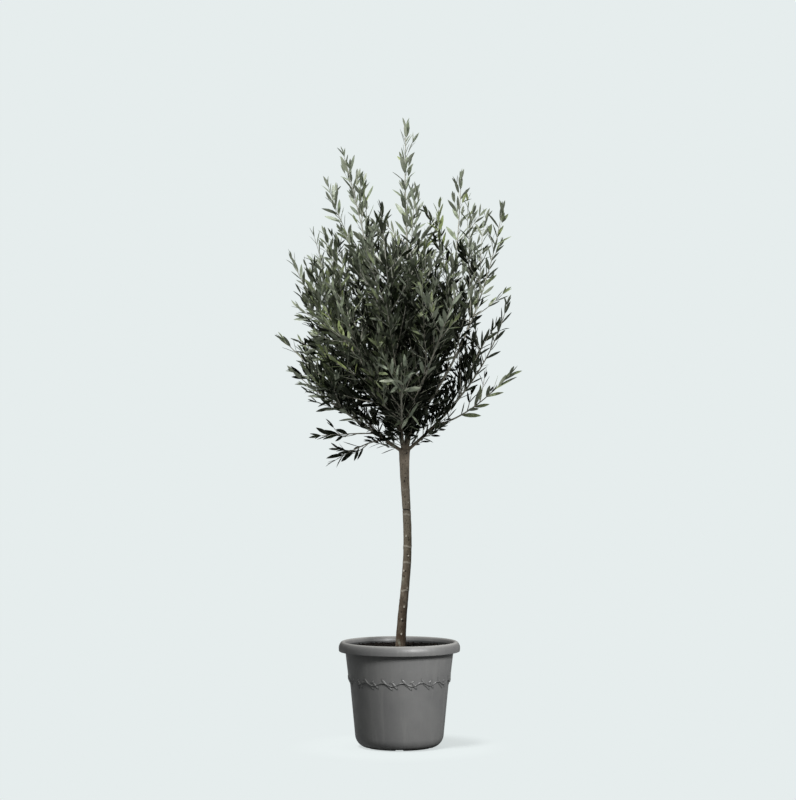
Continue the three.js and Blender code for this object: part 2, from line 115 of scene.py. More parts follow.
def place(tree, kind, inputs=(), **settings):
    """Adds a node. inputs maps a socket to a value or to another node's output."""
    made = tree.nodes.new(kind)
    for key, value in settings.items():
        setattr(made, key, value)
    for socket, value in dict(inputs).items():
        if isinstance(value, bpy.types.NodeSocket):
            tree.links.new(value, made.inputs[socket])
        else:
            made.inputs[socket].default_value = value
    return made


def remap(tree, value, low, high, to_low=0.0, to_high=1.0, **settings):
    """A value carried from one range to another, and held at its ends."""
    ranges = {"From Min": low, "From Max": high, "To Min": to_low, "To Max": to_high}
    return place(tree, "ShaderNodeMapRange", {"Value": value, **ranges}, **settings).outputs[0]


def blend_colours(tree, share, under, over):
    """The colour under where share is 0, and over where it is 1."""
    return place(tree, "ShaderNodeMix", {0: share, 6: under, 7: over}, data_type="RGBA").outputs[2]


def height_above_floor(tree):
    """The height of each point of a surface, in metres."""
    where = place(tree, "ShaderNodeTexCoord").outputs["Object"]
    return place(tree, "ShaderNodeSeparateXYZ", {0: where}).outputs["Z"]


def start_group(name, inputs, outputs):
    """A node group with its sockets: inputs and outputs map a name to (type, default)."""
    group = bpy.data.node_groups.new(name, "ShaderNodeTree")
    for socket, (kind, default) in inputs.items():
        made = group.interface.new_socket(name=socket, in_out="INPUT", socket_type=kind)
        made.default_value = default
    for socket, kind in outputs.items():
        group.interface.new_socket(name=socket, in_out="OUTPUT", socket_type=kind)
    return group, group.nodes.new("NodeGroupInput").outputs, group.nodes.new("NodeGroupOutput")


print("node helpers ready")

# %% [markdown]
# The mottle group is the noise itself. A noise texture is pulled longer or shorter along each
# axis, and two limits turn it from a soft fog into patches with edges. It gives the colour
# between two others, and the height of the noise for a bump. An image could hold the same
# patches, but it would repeat and need unwrapping.

# %% The mottle group
NOISE_DETAIL, NOISE_ROUGHNESS = 5.0, 0.6

mottle, given, result = start_group(
    "mottle",
    {
        "Scale": (NUMBER, 100.0),
        "Stretch": (VECTOR, (1.0, 1.0, 1.0)),
        "Low": (NUMBER, 0.35),
        "High": (NUMBER, 0.65),
        "Color A": (COLOUR, (0.1, 0.1, 0.1, 1.0)),
        "Color B": (COLOUR, (0.2, 0.2, 0.2, 1.0)),
    },
    {"Color": COLOUR, "Height": NUMBER},
)
where = place(mottle, "ShaderNodeTexCoord").outputs["Object"]
pull = {0: where, 1: given["Stretch"]}
pulled = place(mottle, "ShaderNodeVectorMath", pull, operation="MULTIPLY").outputs[0]
looks = {"Scale": given["Scale"], "Detail": NOISE_DETAIL, "Roughness": NOISE_ROUGHNESS}
cloud = place(mottle, "ShaderNodeTexNoise", {"Vector": pulled, **looks}).outputs["Fac"]
mask = remap(mottle, cloud, given["Low"], given["High"])
patched = blend_colours(mottle, mask, given["Color A"], given["Color B"])
mottle.links.new(patched, result.inputs["Color"])
mottle.links.new(cloud, result.inputs["Height"])
print("group made:", mottle.name)

# %% [markdown]
# Every finish starts from a Principled BSDF, Blender's shader for almost anything that isn't
# glass or glow. Three helpers start it, place the mottle group with a finish's own values, and
# stack bumps, each on the normal of the one before.

# %% Starting a material
def start_finish(name, roughness, specular=0.5):
    """A material with a Principled BSDF, and its node tree."""
    material = bpy.data.materials.new(name)
    material.use_nodes = True
    tree = material.node_tree
    shader = tree.nodes["Principled BSDF"]
    shader.inputs["Roughness"].default_value = roughness
    shader.inputs["Specular IOR Level"].default_value = specular
    print("finish:", name)
    return material, tree, shader


def use_mottle(tree, scale, colours, low=0.35, high=0.65, stretch=(1, 1, 1)):
    """The mottle group placed in a material with its own values."""
    values = {"Scale": scale, "Stretch": stretch, "Low": low, "High": high}
    for socket, colour in zip(("Color A", "Color B"), colours):
        values[socket] = (*colour, 1.0) if isinstance(colour, tuple) else colour
    return place(tree, "ShaderNodeGroup", values, node_tree=mottle).outputs


def add_bump(tree, shader, heights, depth):
    """Bumps from (height, strength) pairs, each on the one before; depth is in metres."""
    normal = {}
    for height, strength in heights:
        values = {"Height": height, "Distance": depth, "Strength": strength, **normal}
        normal = {"Normal": place(tree, "ShaderNodeBump", values).outputs[0]}
    tree.links.new(normal["Normal"], shader.inputs["Normal"])


print("finish helpers ready")

# %% [markdown]
# ## The pot
# The pot is injection moulded: a tapered wall about three millimetres thick, a hollow rolled
# rim that hands can grip, a small step where the upper wall stands proud, and a foot with a
# drain channel. It could be a cylinder with modifiers, but a turned profile says all of this
# in a few numbers. Every corner of a moulding has a radius, so the profile's corners are
# rounded by a function before the profile is spun.

# %% Rounded profiles
def rounded(corners, steps=5):
    """A line through (radius, height, rounding) corners with each corner rounded."""
    corners = [(*corner, 0)[:3] for corner in corners]
    line = [np.array(corners[0][:2], dtype=float)]
    for before, here, after in zip(corners, corners[1:], corners[2:]):
        here_at = np.array(here[:2], dtype=float)
        to_before = np.array(before[:2]) - here_at
        to_after = np.array(after[:2]) - here_at
        reach = min(here[2], 0.49 * np.linalg.norm(to_before), 0.49 * np.linalg.norm(to_after))
        first = here_at + reach * to_before / np.linalg.norm(to_before)
        last = here_at + reach * to_after / np.linalg.norm(to_after)
        if reach < 0.05:
            line.append(here_at)
            continue
        for share in np.linspace(0, 1, steps):
            mixed = (1 - share) ** 2 * first + 2 * share * (1 - share) * here_at + share**2 * last
            line.append(mixed)
    line.append(np.array(corners[-1][:2], dtype=float))
    return np.array(line)


def turn(profile, sides):
    """Points of a profile spun about Z, ring after ring, and the faces between the rings."""
    angles = np.linspace(0, 2 * math.pi, sides, endpoint=False)
    rings = profile[:, 0][:, None, None] * np.stack([np.cos(angles), np.sin(angles)], -1)[None]
    heights = np.broadcast_to(profile[:, 1][:, None, None], (*rings.shape[:2], 1))
    points = np.concatenate([rings, heights], axis=2).reshape(-1, 3)
    return points, grid_faces(len(profile), sides)


print("a rounded corner has", len(rounded([(0, 0), (9, 0, 4), (9, 9)])) - 2, "points")

# %% [markdown]
# The profile is a list of corners from the middle of the underside, up the outside, over the
# rim and down the inside. Each corner says how far out it is, how high, and how much it is
# rounded. Between the two edges of the moulded band the wall is set back a little, so that
# the band can be a mesh of its own in front of it.

# %% The pot's sizes
POT_HEIGHT = 302
WALL = 3.5
RIM_RADIUS, RIM_UNDER, RIM_HOLLOW = 174, 274, 7.5
MOUTH_RADIUS = 152
FOOT_RADIUS, FOOT_ROUND = 90, 37
LOWER_WALL_RADIUS, LOWER_WALL_TOP = 141, 181
UPPER_WALL_RADIUS, UPPER_WALL_FOOT = 155, 144
BAND_LOW, BAND_HIGH, BAND_SET_BACK = 172, 212, 1.5
POT_FLOOR = 8
PAD_RADIUS, CHANNEL_RADIUS, CHANNEL_DEPTH = 60, 80, 4


def lower_wall(height):
    """The outer radius of the wall below the step."""
    foot = FOOT_RADIUS + FOOT_ROUND
    share = (height - FOOT_ROUND) / (LOWER_WALL_TOP - FOOT_ROUND)
    return foot + (LOWER_WALL_RADIUS - foot) * share


def upper_wall(height):
    """The outer radius of the wall above the step."""
    share = (height - LOWER_WALL_TOP) / (RIM_UNDER - LOWER_WALL_TOP)
    return UPPER_WALL_FOOT + (UPPER_WALL_RADIUS - UPPER_WALL_FOOT) * share


foot_angles = np.radians(np.linspace(-84, -6, 12))
foot_arc = [FOOT_RADIUS + FOOT_ROUND * np.cos(foot_angles), FOOT_ROUND * (1 + np.sin(foot_angles))]
pot_profile = rounded(
    [
        (0.01, 0),
        (PAD_RADIUS, 0, 1.5),
        (PAD_RADIUS + 2, CHANNEL_DEPTH, 1.5),
        (CHANNEL_RADIUS - 2, CHANNEL_DEPTH, 1.5),
        (CHANNEL_RADIUS, 0, 1.5),
        (FOOT_RADIUS, 0),
        *zip(*foot_arc),
        (lower_wall(BAND_LOW), BAND_LOW),
        (lower_wall(BAND_LOW) - BAND_SET_BACK, BAND_LOW + 0.2),
        (lower_wall(BAND_HIGH) - BAND_SET_BACK, BAND_HIGH - 0.2),
        (upper_wall(BAND_HIGH), BAND_HIGH),
        (UPPER_WALL_RADIUS, RIM_UNDER, 0),
        (UPPER_WALL_RADIUS, POT_HEIGHT - RIM_HOLLOW, 3),
        (RIM_RADIUS - WALL - 1, POT_HEIGHT - RIM_HOLLOW, 6),
        (RIM_RADIUS - WALL - 1, RIM_UNDER, 1),
        (RIM_RADIUS - 0.6, RIM_UNDER, 5.5),
        (RIM_RADIUS + 0.4, POT_HEIGHT - 13, 16),
        (RIM_RADIUS - 7, POT_HEIGHT - 0.6, 9),
        (MOUTH_RADIUS + 6, POT_HEIGHT, 8),
        (MOUTH_RADIUS, POT_HEIGHT - 10, 8),
        (UPPER_WALL_RADIUS - WALL, RIM_UNDER - 5, 5),
        (LOWER_WALL_RADIUS - WALL, 184, 5),
        (FOOT_RADIUS + FOOT_ROUND - WALL, 32, 24),
        (103, POT_FLOOR, 10),
        (0.01, POT_FLOOR),
    ]
)
print("pot profile points:", len(pot_profile))

# %% [markdown]
# Anthracite pots are polypropylene with a little black: a cool dark grey that catches a soft
# sheen on the side towards the light. The grain of the mould is finer than a millimetre, rain
# leaves faint streaks down the wall, and dust settles on whatever faces up. The streaks are
# the mottle group stretched along Z, and the dust is a mask from the surface's own slope. The
# same pale mask is also a painted highlight on the rim's rounded shoulder.

# %% The pot's plastic
WALL_GREYS = ((0.054, 0.054, 0.054), (0.066, 0.066, 0.065))
STREAK_GREY = (0.076, 0.076, 0.074)
# The pale grey is dust and a painted highlight; the dark grey is painted shade.
DUST_AND_SHEEN, PAINTED_SHADE_GREY = (0.17, 0.168, 0.16, 1), (0.014, 0.015, 0.015, 1)

pot_plastic, tree, shader = start_finish("anthracite plastic", 0.46, 0.3)
patches = use_mottle(tree, 9, WALL_GREYS)
streaks = use_mottle(tree, 60, (patches["Color"], STREAK_GREY), 0.5, 0.8, (1, 1, 0.05))
normal = place(tree, "ShaderNodeNewGeometry").outputs["Normal"]
faces_up = place(tree, "ShaderNodeSeparateXYZ", {0: normal}).outputs["Z"]
# Surfaces that face up take the pale grey: dust, and a painted highlight on the rim's shoulder.
dust_and_sheen = blend_colours(tree, remap(tree, faces_up, 0.42, 0.9, 0, 0.7), streaks["Color"], DUST_AND_SHEEN)
# The attribute read here is painted shade: inside the mouth and at the foot of the garland.
shade_mask = place(tree, "ShaderNodeAttribute", attribute_name="painted_shade").outputs["Fac"]
tree.links.new(blend_colours(tree, shade_mask, dust_and_sheen, PAINTED_SHADE_GREY), shader.inputs["Base Color"])
grain = use_mottle(tree, 900, ((0, 0, 0), (1, 1, 1)))
scuffs = use_mottle(tree, 40, ((0.42, 0.42, 0.42), (0.52, 0.52, 0.52)))
tree.links.new(scuffs["Color"], shader.inputs["Roughness"])
add_bump(tree, shader, [(grain["Height"], 0.12), (patches["Height"], 0.25)], 0.0012)

# %% [markdown]
# Water leaves a pot through holes in the drain channel and runs out through notches in the
# foot. Both repeat round the pot, so a box and a drill are set round it in a ring, joined, and
# taken away from the turned pot by one Boolean modifier. One cut is quicker than twelve.

# %% Turn the pot and cut its drains
POT_SIDES = 160
DRAIN_COUNT, DRAIN_RADIUS, DRAIN_OUT = 6, 6, 70
NOTCH_SIZE, NOTCH_OUT = (74, 22, 8), 113
DRILL_LENGTH = 40


def set_round(cutter, angle, out):
    """A cutter set at an angle and a distance from the pot's middle."""
    cutter.location = (out * MM * math.cos(angle), out * MM * math.sin(angle), 0)
    cutter.rotation_euler = (0, 0, angle)
    return cutter


points, quads = turn(pot_profile, POT_SIDES)
pot = make_piece("pot_body", points, quads, materials=[pot_plastic])
cutters = []
for number in range(DRAIN_COUNT):
    angle = 2 * math.pi * number / DRAIN_COUNT - math.pi / 2
    bpy.ops.mesh.primitive_cube_add(size=1)
    bpy.context.object.scale = [side * MM for side in NOTCH_SIZE]
    cutters.append(set_round(bpy.context.object, angle, NOTCH_OUT))
    drill = {"radius": DRAIN_RADIUS * MM, "depth": DRILL_LENGTH * MM}
    bpy.ops.mesh.primitive_cylinder_add(vertices=24, **drill)
    cutters.append(set_round(bpy.context.object, angle + math.pi / DRAIN_COUNT, DRAIN_OUT))
bpy.ops.object.select_all(action="DESELECT")
for cutter in cutters:
    cutter.select_set(True)
bpy.context.view_layer.objects.active = cutters[0]
bpy.ops.object.join()
cut = pot.modifiers.new("drains", "BOOLEAN")
cut.operation, cut.object, cut.solver = "DIFFERENCE", cutters[0], "EXACT"
bpy.context.view_layer.objects.active = pot
bpy.ops.object.modifier_apply(modifier="drains")
bpy.data.objects.remove(cutters[0])
pot.data.set_sharp_from_angle(angle=SHARP)
print("faces after the cut:", len(pot.data.polygons))

# %% [markdown]
# A painted shade darkens the inside of the mouth down from the rim's edge. It is a number kept
# on each point of the mesh, so that the material darkens exactly there. A mask painted by hand
# would do the same, but a height and a radius say it in two lines.

# %% Paint shade inside the mouth
MOUTH_SHADE_TOP, MOUTH_SHADE_FADE, MOUTH_SHADE_FOOT, MOUTH_SHADE_SHARE = POT_HEIGHT - 2, 8, 250, 0.94


def keep_on_points(piece, name, values):
    """Keeps a number on each point of a mesh, for its material to read."""
    layer = piece.data.attributes.new(name, "FLOAT", "POINT")
    layer.data.foreach_set("value", np.asarray(values).astype(np.float32).ravel())


corners = np.array([vertex.co for vertex in pot.data.vertices]) / MM
inside = np.hypot(corners[:, 0], corners[:, 1]) < MOUTH_RADIUS + 0.5
inside &= corners[:, 2] > MOUTH_SHADE_FOOT
# The inside of the mouth is darkened by painted shade.
mouth_shade = np.clip((MOUTH_SHADE_TOP - corners[:, 2]) / MOUTH_SHADE_FADE, 0, 1) * inside * MOUTH_SHADE_SHARE
keep_on_points(pot, "painted_shade", mouth_shade)
hand_over(pot, "pot_plastic", "pot")

# %% [markdown]
# A band of low relief runs round the wall at the step: slanted leaves on a waving stem, the
# plain kind of garland that pots have carried for centuries. Above the stem the wall stands
# three millimetres proud, so the stem is also the edge of the step, and the leaves rise by not
# quite two more. It could be a bump map, but a bump has no outline and no shadow, so the band
# is its own ring of mesh. A height function says how far each point stands out, and a painted
# shade darkens the wall where the relief ends.

# %% The garland's height
GARLAND_REPEATS = 16
GARLAND_PITCH = 57.0
GARLAND_COLUMNS, GARLAND_ROWS = 72, 44
GARLAND_MIDDLE = 191
LEAVES = [  # middle across and up, half length and half width, tilt in degrees
    ((15, 5.5), (13.5, 3.6), -52),
    ((28, -6.5), (10.5, 3.0), -48),
    ((43, -2.0), (12.0, 3.4), -55),
    ((55, 2.5), (7.5, 2.6), 38),
    ((35, 7.5), (6.5, 2.4), 30),
]
STEM_SWING, STEM_SHIFT, STEM_HALF, STEM_RISE = 4.5, 6, 2.1, 2.4
LEAF_RISE = 3.1
# The width and strength of the painted shade at the relief's edge.
SHADE_EDGE_WIDTH, SHADE_EDGE_SHARE = 0.9, 0.85


def blob(across, up, middle, size, tilt):
    """A dome over a tilted ellipse, and the distance out from its edge."""
    x, y = across - middle[0], up - middle[1]
    along = x * math.cos(tilt) + y * math.sin(tilt)
    aside = y * math.cos(tilt) - x * math.sin(tilt)
    out = np.hypot(along / size[0], aside / size[1])
    return np.sqrt(np.clip(1 - out**2, 0, None)), (out - 1) * size[1]


def garland(across, up):
    """How far the band stands out, and how much painted shade it holds, over one repeat."""
    wave = STEM_SWING * np.sin(2 * math.pi * (across + STEM_SHIFT) / GARLAND_PITCH)
    from_stem = np.abs(up - wave)
    height = STEM_RISE * np.sqrt(np.clip(1 - (from_stem / STEM_HALF) ** 2, 0, None))
    edge = from_stem - STEM_HALF
    for shift in (-GARLAND_PITCH, 0, GARLAND_PITCH):
        for middle, size, tilt in LEAVES:
            centre = (middle[0] + shift, middle[1])
            dome, out = blob(across, up, centre, size, math.radians(tilt))
            height, edge = np.maximum(height, LEAF_RISE * dome), np.minimum(edge, out)
    proud = np.clip((up - wave) / 1.5 + 0.5, 0, 1)
    # Painted shade where the relief ends, less on the proud wall above the stem.
    painted_shade = np.exp(-((edge / SHADE_EDGE_WIDTH) ** 2)) * (height < 1.4) * (1 - 0.45 * proud)
    return height, proud, np.clip(painted_shade, 0, 1) * SHADE_EDGE_SHARE


print("one repeat of the garland is", GARLAND_PITCH, "mm long")

# %% [markdown]
# A mould is cut once and its pattern goes round and round, so the band is one repeat laid
# sixteen times on the wall. Its mesh is a fine grid bent round the pot, and each of its points
# is pushed out by the height function. That is what a displacement does, without a texture.

# %% Lay the garland on the wall
PRESSED = 0.58  # the share of the drawn height that the mould gives
columns = GARLAND_REPEATS * GARLAND_COLUMNS
angles = np.linspace(0, 2 * math.pi, columns, endpoint=False)
heights = np.linspace(BAND_LOW, BAND_HIGH, GARLAND_ROWS)
along = np.arange(columns) % GARLAND_COLUMNS * (GARLAND_PITCH / GARLAND_COLUMNS)
relief, proud, painted_shade = garland(*np.meshgrid(along, heights - GARLAND_MIDDLE))
lower, upper = lower_wall(heights)[:, None], upper_wall(heights)[:, None]
radius = lower + (upper - lower) * proud + relief * PRESSED
points = np.stack([radius * np.cos(angles), radius * np.sin(angles)], -1)
points = np.concatenate([points, np.broadcast_to(heights[:, None, None], (*radius.shape, 1))], -1)
quads = grid_faces(GARLAND_ROWS, columns)
garland_piece = make_piece("pot_garland", points.reshape(-1, 3), quads, materials=[pot_plastic])
keep_on_points(garland_piece, "painted_shade", painted_shade)
hand_over(garland_piece, "pot_plastic")

# %% [markdown]
# ## The soil
# Potting mix is nearly black when moist: peat and composted bark, with crumbs that stand up
# a few millimetres. A flat disc would look like a lid. A disc of rings pushed up and down by
# noise gives the lie of the surface, and a few hundred angular crumbs scattered on it give
# the edge that catches the light.

# %% Soil
SOIL_HEIGHT, SOIL_EDGE, SOIL_DEPTH = 286, 150.6, 12
SOIL_RINGS, SOIL_SIDES = 60, 160
LUMP_RISE, LUMP_SPAN = 2.2, 34
MOUND_RISE, MOUND_SPAN = 3.0, 34
EDGE_FADE = 8
SOIL_DROP = 1.5  # the soil's level lies this far under its highest crumbs

soil_finish, tree, shader = start_finish("moist potting mix", 0.95, 0.06)
crumb = use_mottle(tree, 260, ((0.002, 0.0016, 0.0014), (0.011, 0.008, 0.006)), 0.4, 0.7)
fleck = use_mottle(tree, 420, (crumb["Color"], (0.032, 0.022, 0.015)), 0.62, 0.74)
tree.links.new(fleck["Color"], shader.inputs["Base Color"])
add_bump(tree, shader, [(crumb["Height"], 0.9), (fleck["Height"], 0.5)], 0.003)

top = []
for radius in np.linspace(0.5, SOIL_EDGE, SOIL_RINGS):
    for angle in np.linspace(0, 2 * math.pi, SOIL_SIDES, endpoint=False):
        x, y = radius * math.cos(angle), radius * math.sin(angle)
        rise = LUMP_RISE * noise.fractal((x / LUMP_SPAN, y / LUMP_SPAN, 7.0), 1.0, 2.0, 5)
        mound = MOUND_RISE * math.exp(-((radius / MOUND_SPAN) ** 2))
        fade = min(1.0, (SOIL_EDGE - radius) / EDGE_FADE)
        top.append((x, y, SOIL_HEIGHT - SOIL_DROP + (rise + mound) * fade))
top = np.array(top)
skirt = top[-SOIL_SIDES:].copy()
skirt[:, 2] = SOIL_HEIGHT - SOIL_DEPTH
middles = [[0, 0, SOIL_HEIGHT + 1.2], [0, 0, SOIL_HEIGHT - SOIL_DEPTH]]
points = np.concatenate([top, skirt, middles])
hub, under = len(points) - 2, len(points) - 1
ring = np.arange(SOIL_SIDES)
around = (ring + 1) % SOIL_SIDES
last = SOIL_RINGS * SOIL_SIDES
fans = [np.stack([around, ring, np.full_like(ring, hub)], 1)[:, ::-1]]
fans.append(np.stack([last + around, last + ring, np.full_like(ring, under)], 1))
soil_faces = grid_faces(SOIL_RINGS + 1, SOIL_SIDES)
soil = make_piece("soil_surface", points, soil_faces, np.concatenate(fans), [soil_finish])
hand_over(soil, "soil", "soil")

# %% [markdown]
# Crumbs are cubes with their corners pushed about, flattened and tipped, each set on the
# nearest point of the soil. A particle system could scatter them, but an array of points
# becomes one plain mesh at once and comes out the same each time.

# %% Crumbs and bark chips on the soil
CRUMB_COUNT = 1100
CRUMB_SHAPE = (1, 0.8, 0.5)
crumb_rng = np.random.default_rng(11)
cube = np.array([[x, y, z] for x in (-1, 1) for y in (-1, 1) for z in (-1, 1)], dtype=float)
cube_faces = [[0, 1, 3, 2], [4, 6, 7, 5], [0, 4, 5, 1], [2, 3, 7, 6], [0, 2, 6, 4], [1, 5, 7, 3]]
crumb_points, crumb_faces = [], []
for number in range(CRUMB_COUNT):
    size = crumb_rng.gamma(3.0, 0.55, 3) * CRUMB_SHAPE + 0.4
    shape = (cube + crumb_rng.uniform(-0.45, 0.45, cube.shape)) * size
    spin, tip = crumb_rng.uniform(0, 2 * math.pi), crumb_rng.normal(0, 0.35)
    c, s, ct, st = math.cos(spin), math.sin(spin), math.cos(tip), math.sin(tip)
    shape = shape @ np.array([[c, s, 0], [-s * ct, c * ct, st], [s * st, -c * st, ct]])
    out = (SOIL_EDGE - 6) * math.sqrt(crumb_rng.uniform(0.015, 1))
    angle = crumb_rng.uniform(0, 2 * math.pi)
    x, y = out * math.cos(angle), out * math.sin(angle)
    nearest = np.argmin((top[:, 0] - x) ** 2 + (top[:, 1] - y) ** 2)
    crumb_points.append(shape + top[nearest] + (0, 0, 0.3 * size[2]))
    crumb_faces.append(np.array(cube_faces) + 8 * number)
crumb_points, crumb_faces = np.concatenate(crumb_points), np.concatenate(crumb_faces)
crumbs = make_piece("soil_crumbs", crumb_points, crumb_faces, materials=[soil_finish])
hand_over(crumbs, "soil")

# %% [markdown]
# ## How the tree grows
# The solids were grown by a rule: each limb is one curve from its foot to its last leaf, and
# side shoots spiral up the stem and turn towards the light. The same rule, with the same
# random numbers, gives the same limbs and shoots here. The solids kept one shoot in three and
# gave it a few large leaves. Here every shoot grows, and branches once more.

# %% Directions and curves
UP = np.array([0.0, 0.0, 1.0])


def unit(vectors):
    """Vectors scaled to length 1."""
    vectors = np.asarray(vectors, dtype=float)
    return vectors / np.linalg.norm(vectors, axis=-1, keepdims=True)


def leaning(degrees, azimuth):
    """The direction that leans some degrees from upright towards an azimuth."""
    lean, turned_to = math.radians(degrees), math.radians(azimuth)
    flat = math.sin(lean)
    return np.array([flat * math.cos(turned_to), flat * math.sin(turned_to), math.cos(lean)])


class Curve:
    """A Bezier curve that is walked along in millimetres."""

    def __init__(self, *handles):
        self.handles = np.array(handles, dtype=float)
        self.shares = np.linspace(0, 1, 201)
        line = self.place(self.shares)
        steps = np.linalg.norm(np.diff(line, axis=0), axis=1)
        self.walked = np.concatenate([[0], np.cumsum(steps)])
        self.length = self.walked[-1]
        plane = np.cross(self.handles[-1] - self.handles[0], UP)
        self.plane = plane if np.linalg.norm(plane) > 1 else np.array([0.0, 1.0, 0.0])

    def place(self, share):
        """Points at shares of the curve from 0 to 1, blended from its handles."""
        points = np.broadcast_to(self.handles[:, None], (len(self.handles), np.size(share), 3))
        share = np.reshape(share, (-1, 1))
        while len(points) > 1:
            points = points[:-1] + share * (points[1:] - points[:-1])
        return points[0]

    def at(self, along):
        """Points at lengths along the curve."""
        return self.place(np.interp(along, self.walked, self.shares))

    def tangent(self, along):
        """The directions of the curve at lengths along it."""
        ends = np.clip([np.asarray(along) - 0.5, np.asarray(along) + 0.5], 0, self.length)
        return unit(self.at(ends[1]) - self.at(ends[0]))

    def sides(self, tangent):
        """The two directions across a tangent: level, and upwards."""
        across = unit(np.cross(tangent, self.plane))
        return np.cross(across, tangent), across


print("a curve of 100 mm measures", round(Curve((0, 0, 0), (0, 0, 50), (0, 0, 100)).length, 2))

# %% [markdown]
# A tree's limbs are few enough to be set one by one, and the crown's outline hangs on them.
# So they stand in a table, as a maker of wire trees would note them down: where each leaves
# its parent, which way it starts, and where its last leaf is. A second table gives the long
# shoots that stand out of the crown: the limb, how far up its leafy part, and the tip.

# %% The limbs' table
TREE_TOP = 1807
LIMBS = [  # name, parent, foot along it, azimuth and lean there, reach and height of the tip,
    # bare length, radius, lean of the tip (None: by height), size of its shoots
    ("leader", "trunk", 0, 5, 15, 22, 1807, 135, 9, None, 1),
    ("upper_left", "trunk", 0, 193, 14, 172, 1721, 130, 6, 17, 1),
    ("upper_back", "trunk", 0, 72, 27, 185, 1610, 125, 6, None, 1),
    ("upper_front", "trunk", 0, 250, 28, 165, 1560, 120, 5.5, None, 1),
    ("low_left", "trunk", 0, 200, 56, 345, 1093, 115, 5.5, None, 1),
    ("right", "trunk", 0, 11, 50, 324, 1304, 165, 5, 10, 1),
    ("upper_right", "leader", 106, 9, 30, 180, 1664, 85, 5, 1, 1),
    ("right_shoulder", "leader", 72, 350, 40, 301, 1563, 100, 4.5, 8, 1),
    ("low_right", "right", 120, 350, 80, 342, 1090, 45, 3, 42, 0.55),
    ("left_shoulder", "upper_left", 96, 175, 42, 326, 1430, 85, 4.5, 24, 1),
    ("front_left", "upper_left", 72, 230, 52, 320, 1350, 90, 4.2, None, 1),
    ("left", "low_left", 85, 184, 42, 355, 1188, 75, 4, None, 1),
    ("front_right", "upper_front", 80, 306, 46, 318, 1370, 85, 4.2, None, 1),
    ("low_front", "upper_front", 58, 271, 66, 322, 1120, 75, 4, None, 1),
    ("back_left", "upper_back", 95, 130, 48, 322, 1400, 85, 4.2, None, 1),
    ("back_right", "upper_back", 78, 46, 50, 325, 1340, 85, 4.2, None, 1),
    ("low_back", "upper_back", 60, 97, 68, 322, 1140, 75, 4, None, 1),
    ("upper_sprig", "low_left", 105, 200, 92, 272, 887, 35, 2.4, 98, 0.4),
    ("lower_sprig", "low_left", 66, 190, 84, 216, 805, 35, 2.4, 118, 0.45),
]
LEADS = [  # limb, share of its leafy part, azimuth, reach and height of the tip
    ("upper_left", 0.42, 190, 216, 1635),
    ("upper_left", 0.5, 150, 130, 1658),
    ("left_shoulder", 0.45, 187, 258, 1492),
    ("leader", 0.42, 300, 100, 1615),
    ("upper_right", 0.4, 25, 135, 1583),
    ("right_shoulder", 0.38, 345, 226, 1555),
    ("right_shoulder", 0.5, 8, 262, 1549),
    ("upper_back", 0.45, 95, 200, 1500),
    ("upper_front", 0.4, 232, 185, 1470),
    ("low_front", 0.15, 262, 285, 1290),
    ("front_right", 0.2, 285, 270, 1390),
    ("low_back", 0.15, 88, 285, 1300),
    ("right", 0.12, 350, 300, 1230),
    ("low_left", 0.2, 212, 300, 1190),
]
TIP_LEAN, TIP_LEAN_GAIN = 4, 0.065
START_HANDLE, TIP_HANDLE = 0.26, 0.4
TIP_LEAF = 38  # a limb's wood ends this far short of its leaves
print("limbs and leads in the tables:", len(LIMBS), len(LEADS))

# %% [markdown]
# Each limb is one Bezier curve, the same kind that Blender's own curve objects use: it leaves
# its foot one way and reaches its tip in another. Tips low in the crown lean out, and tips
# near the top stand nearly upright.

# %% Grow the limbs
def bend(foot, start_way, tip, tip_way):
    """A curve from foot to tip that starts and ends in given directions."""
    chord = np.linalg.norm(tip - foot)
    start, end = START_HANDLE * chord * start_way, TIP_HANDLE * chord * tip_way
    return Curve(foot, foot + start, tip - end, tip)


def tip_of(azimuth, reach, height, tip_lean=None):
    """The furthest leaf of a limb, and the direction that it points in."""
    turned_to = math.radians(azimuth)
    tip = np.array([reach * math.cos(turned_to), reach * math.sin(turned_to), height])
    lean = TIP_LEAN + (TREE_TOP - height) * TIP_LEAN_GAIN if tip_lean is None else tip_lean
    return tip, leaning(lean, azimuth)


FORK = np.array([14.5, 0, 841])
limbs = {}
for name, parent, foot_at, azimuth, lean, reach, height, bare, radius, tip_lean, spray in LIMBS:
    foot = limbs[parent]["curve"].at(foot_at)[0] if parent in limbs else FORK
    curve = bend(foot, leaning(lean, azimuth), *tip_of(azimuth, reach, height, tip_lean))
    wood = curve.length - TIP_LEAF
    limbs[name] = dict(curve=curve, bare=bare, radius=radius, spray=spray, wood=wood)
print("limbs:", len(limbs), "longest:", round(max(limb["wood"] for limb in limbs.values())), "mm")

# %% [markdown]
# Buds sit on a stem at the golden angle, so that no shoot shades the one below. A shoot
# starts outwards and its outer half turns up to the light, so three handles are enough for it.
# The random numbers come from a short rule of multiplying and taking the rest, which gives the
# same run in any language, so the solids' shoots and these agree.

# %% Grow the shoots
GOLDEN_ANGLE = 137.5
SHOOT_SPACING = 22
SHOOT_LONG, SHOOT_SHORT = 260, 130
TOP_STRETCH = 190
SHOOT_SPREAD = 48
SHOOT_LIFT = 0.34
SHOOT_REACH = 338
SEED = 4201


def seeded(state):
    """A function that gives the same run of numbers from 0 to 1 for the same start."""

    def step():
        nonlocal state
        state = state * 48271 % 2147483647
        return state / 2147483647

    return step


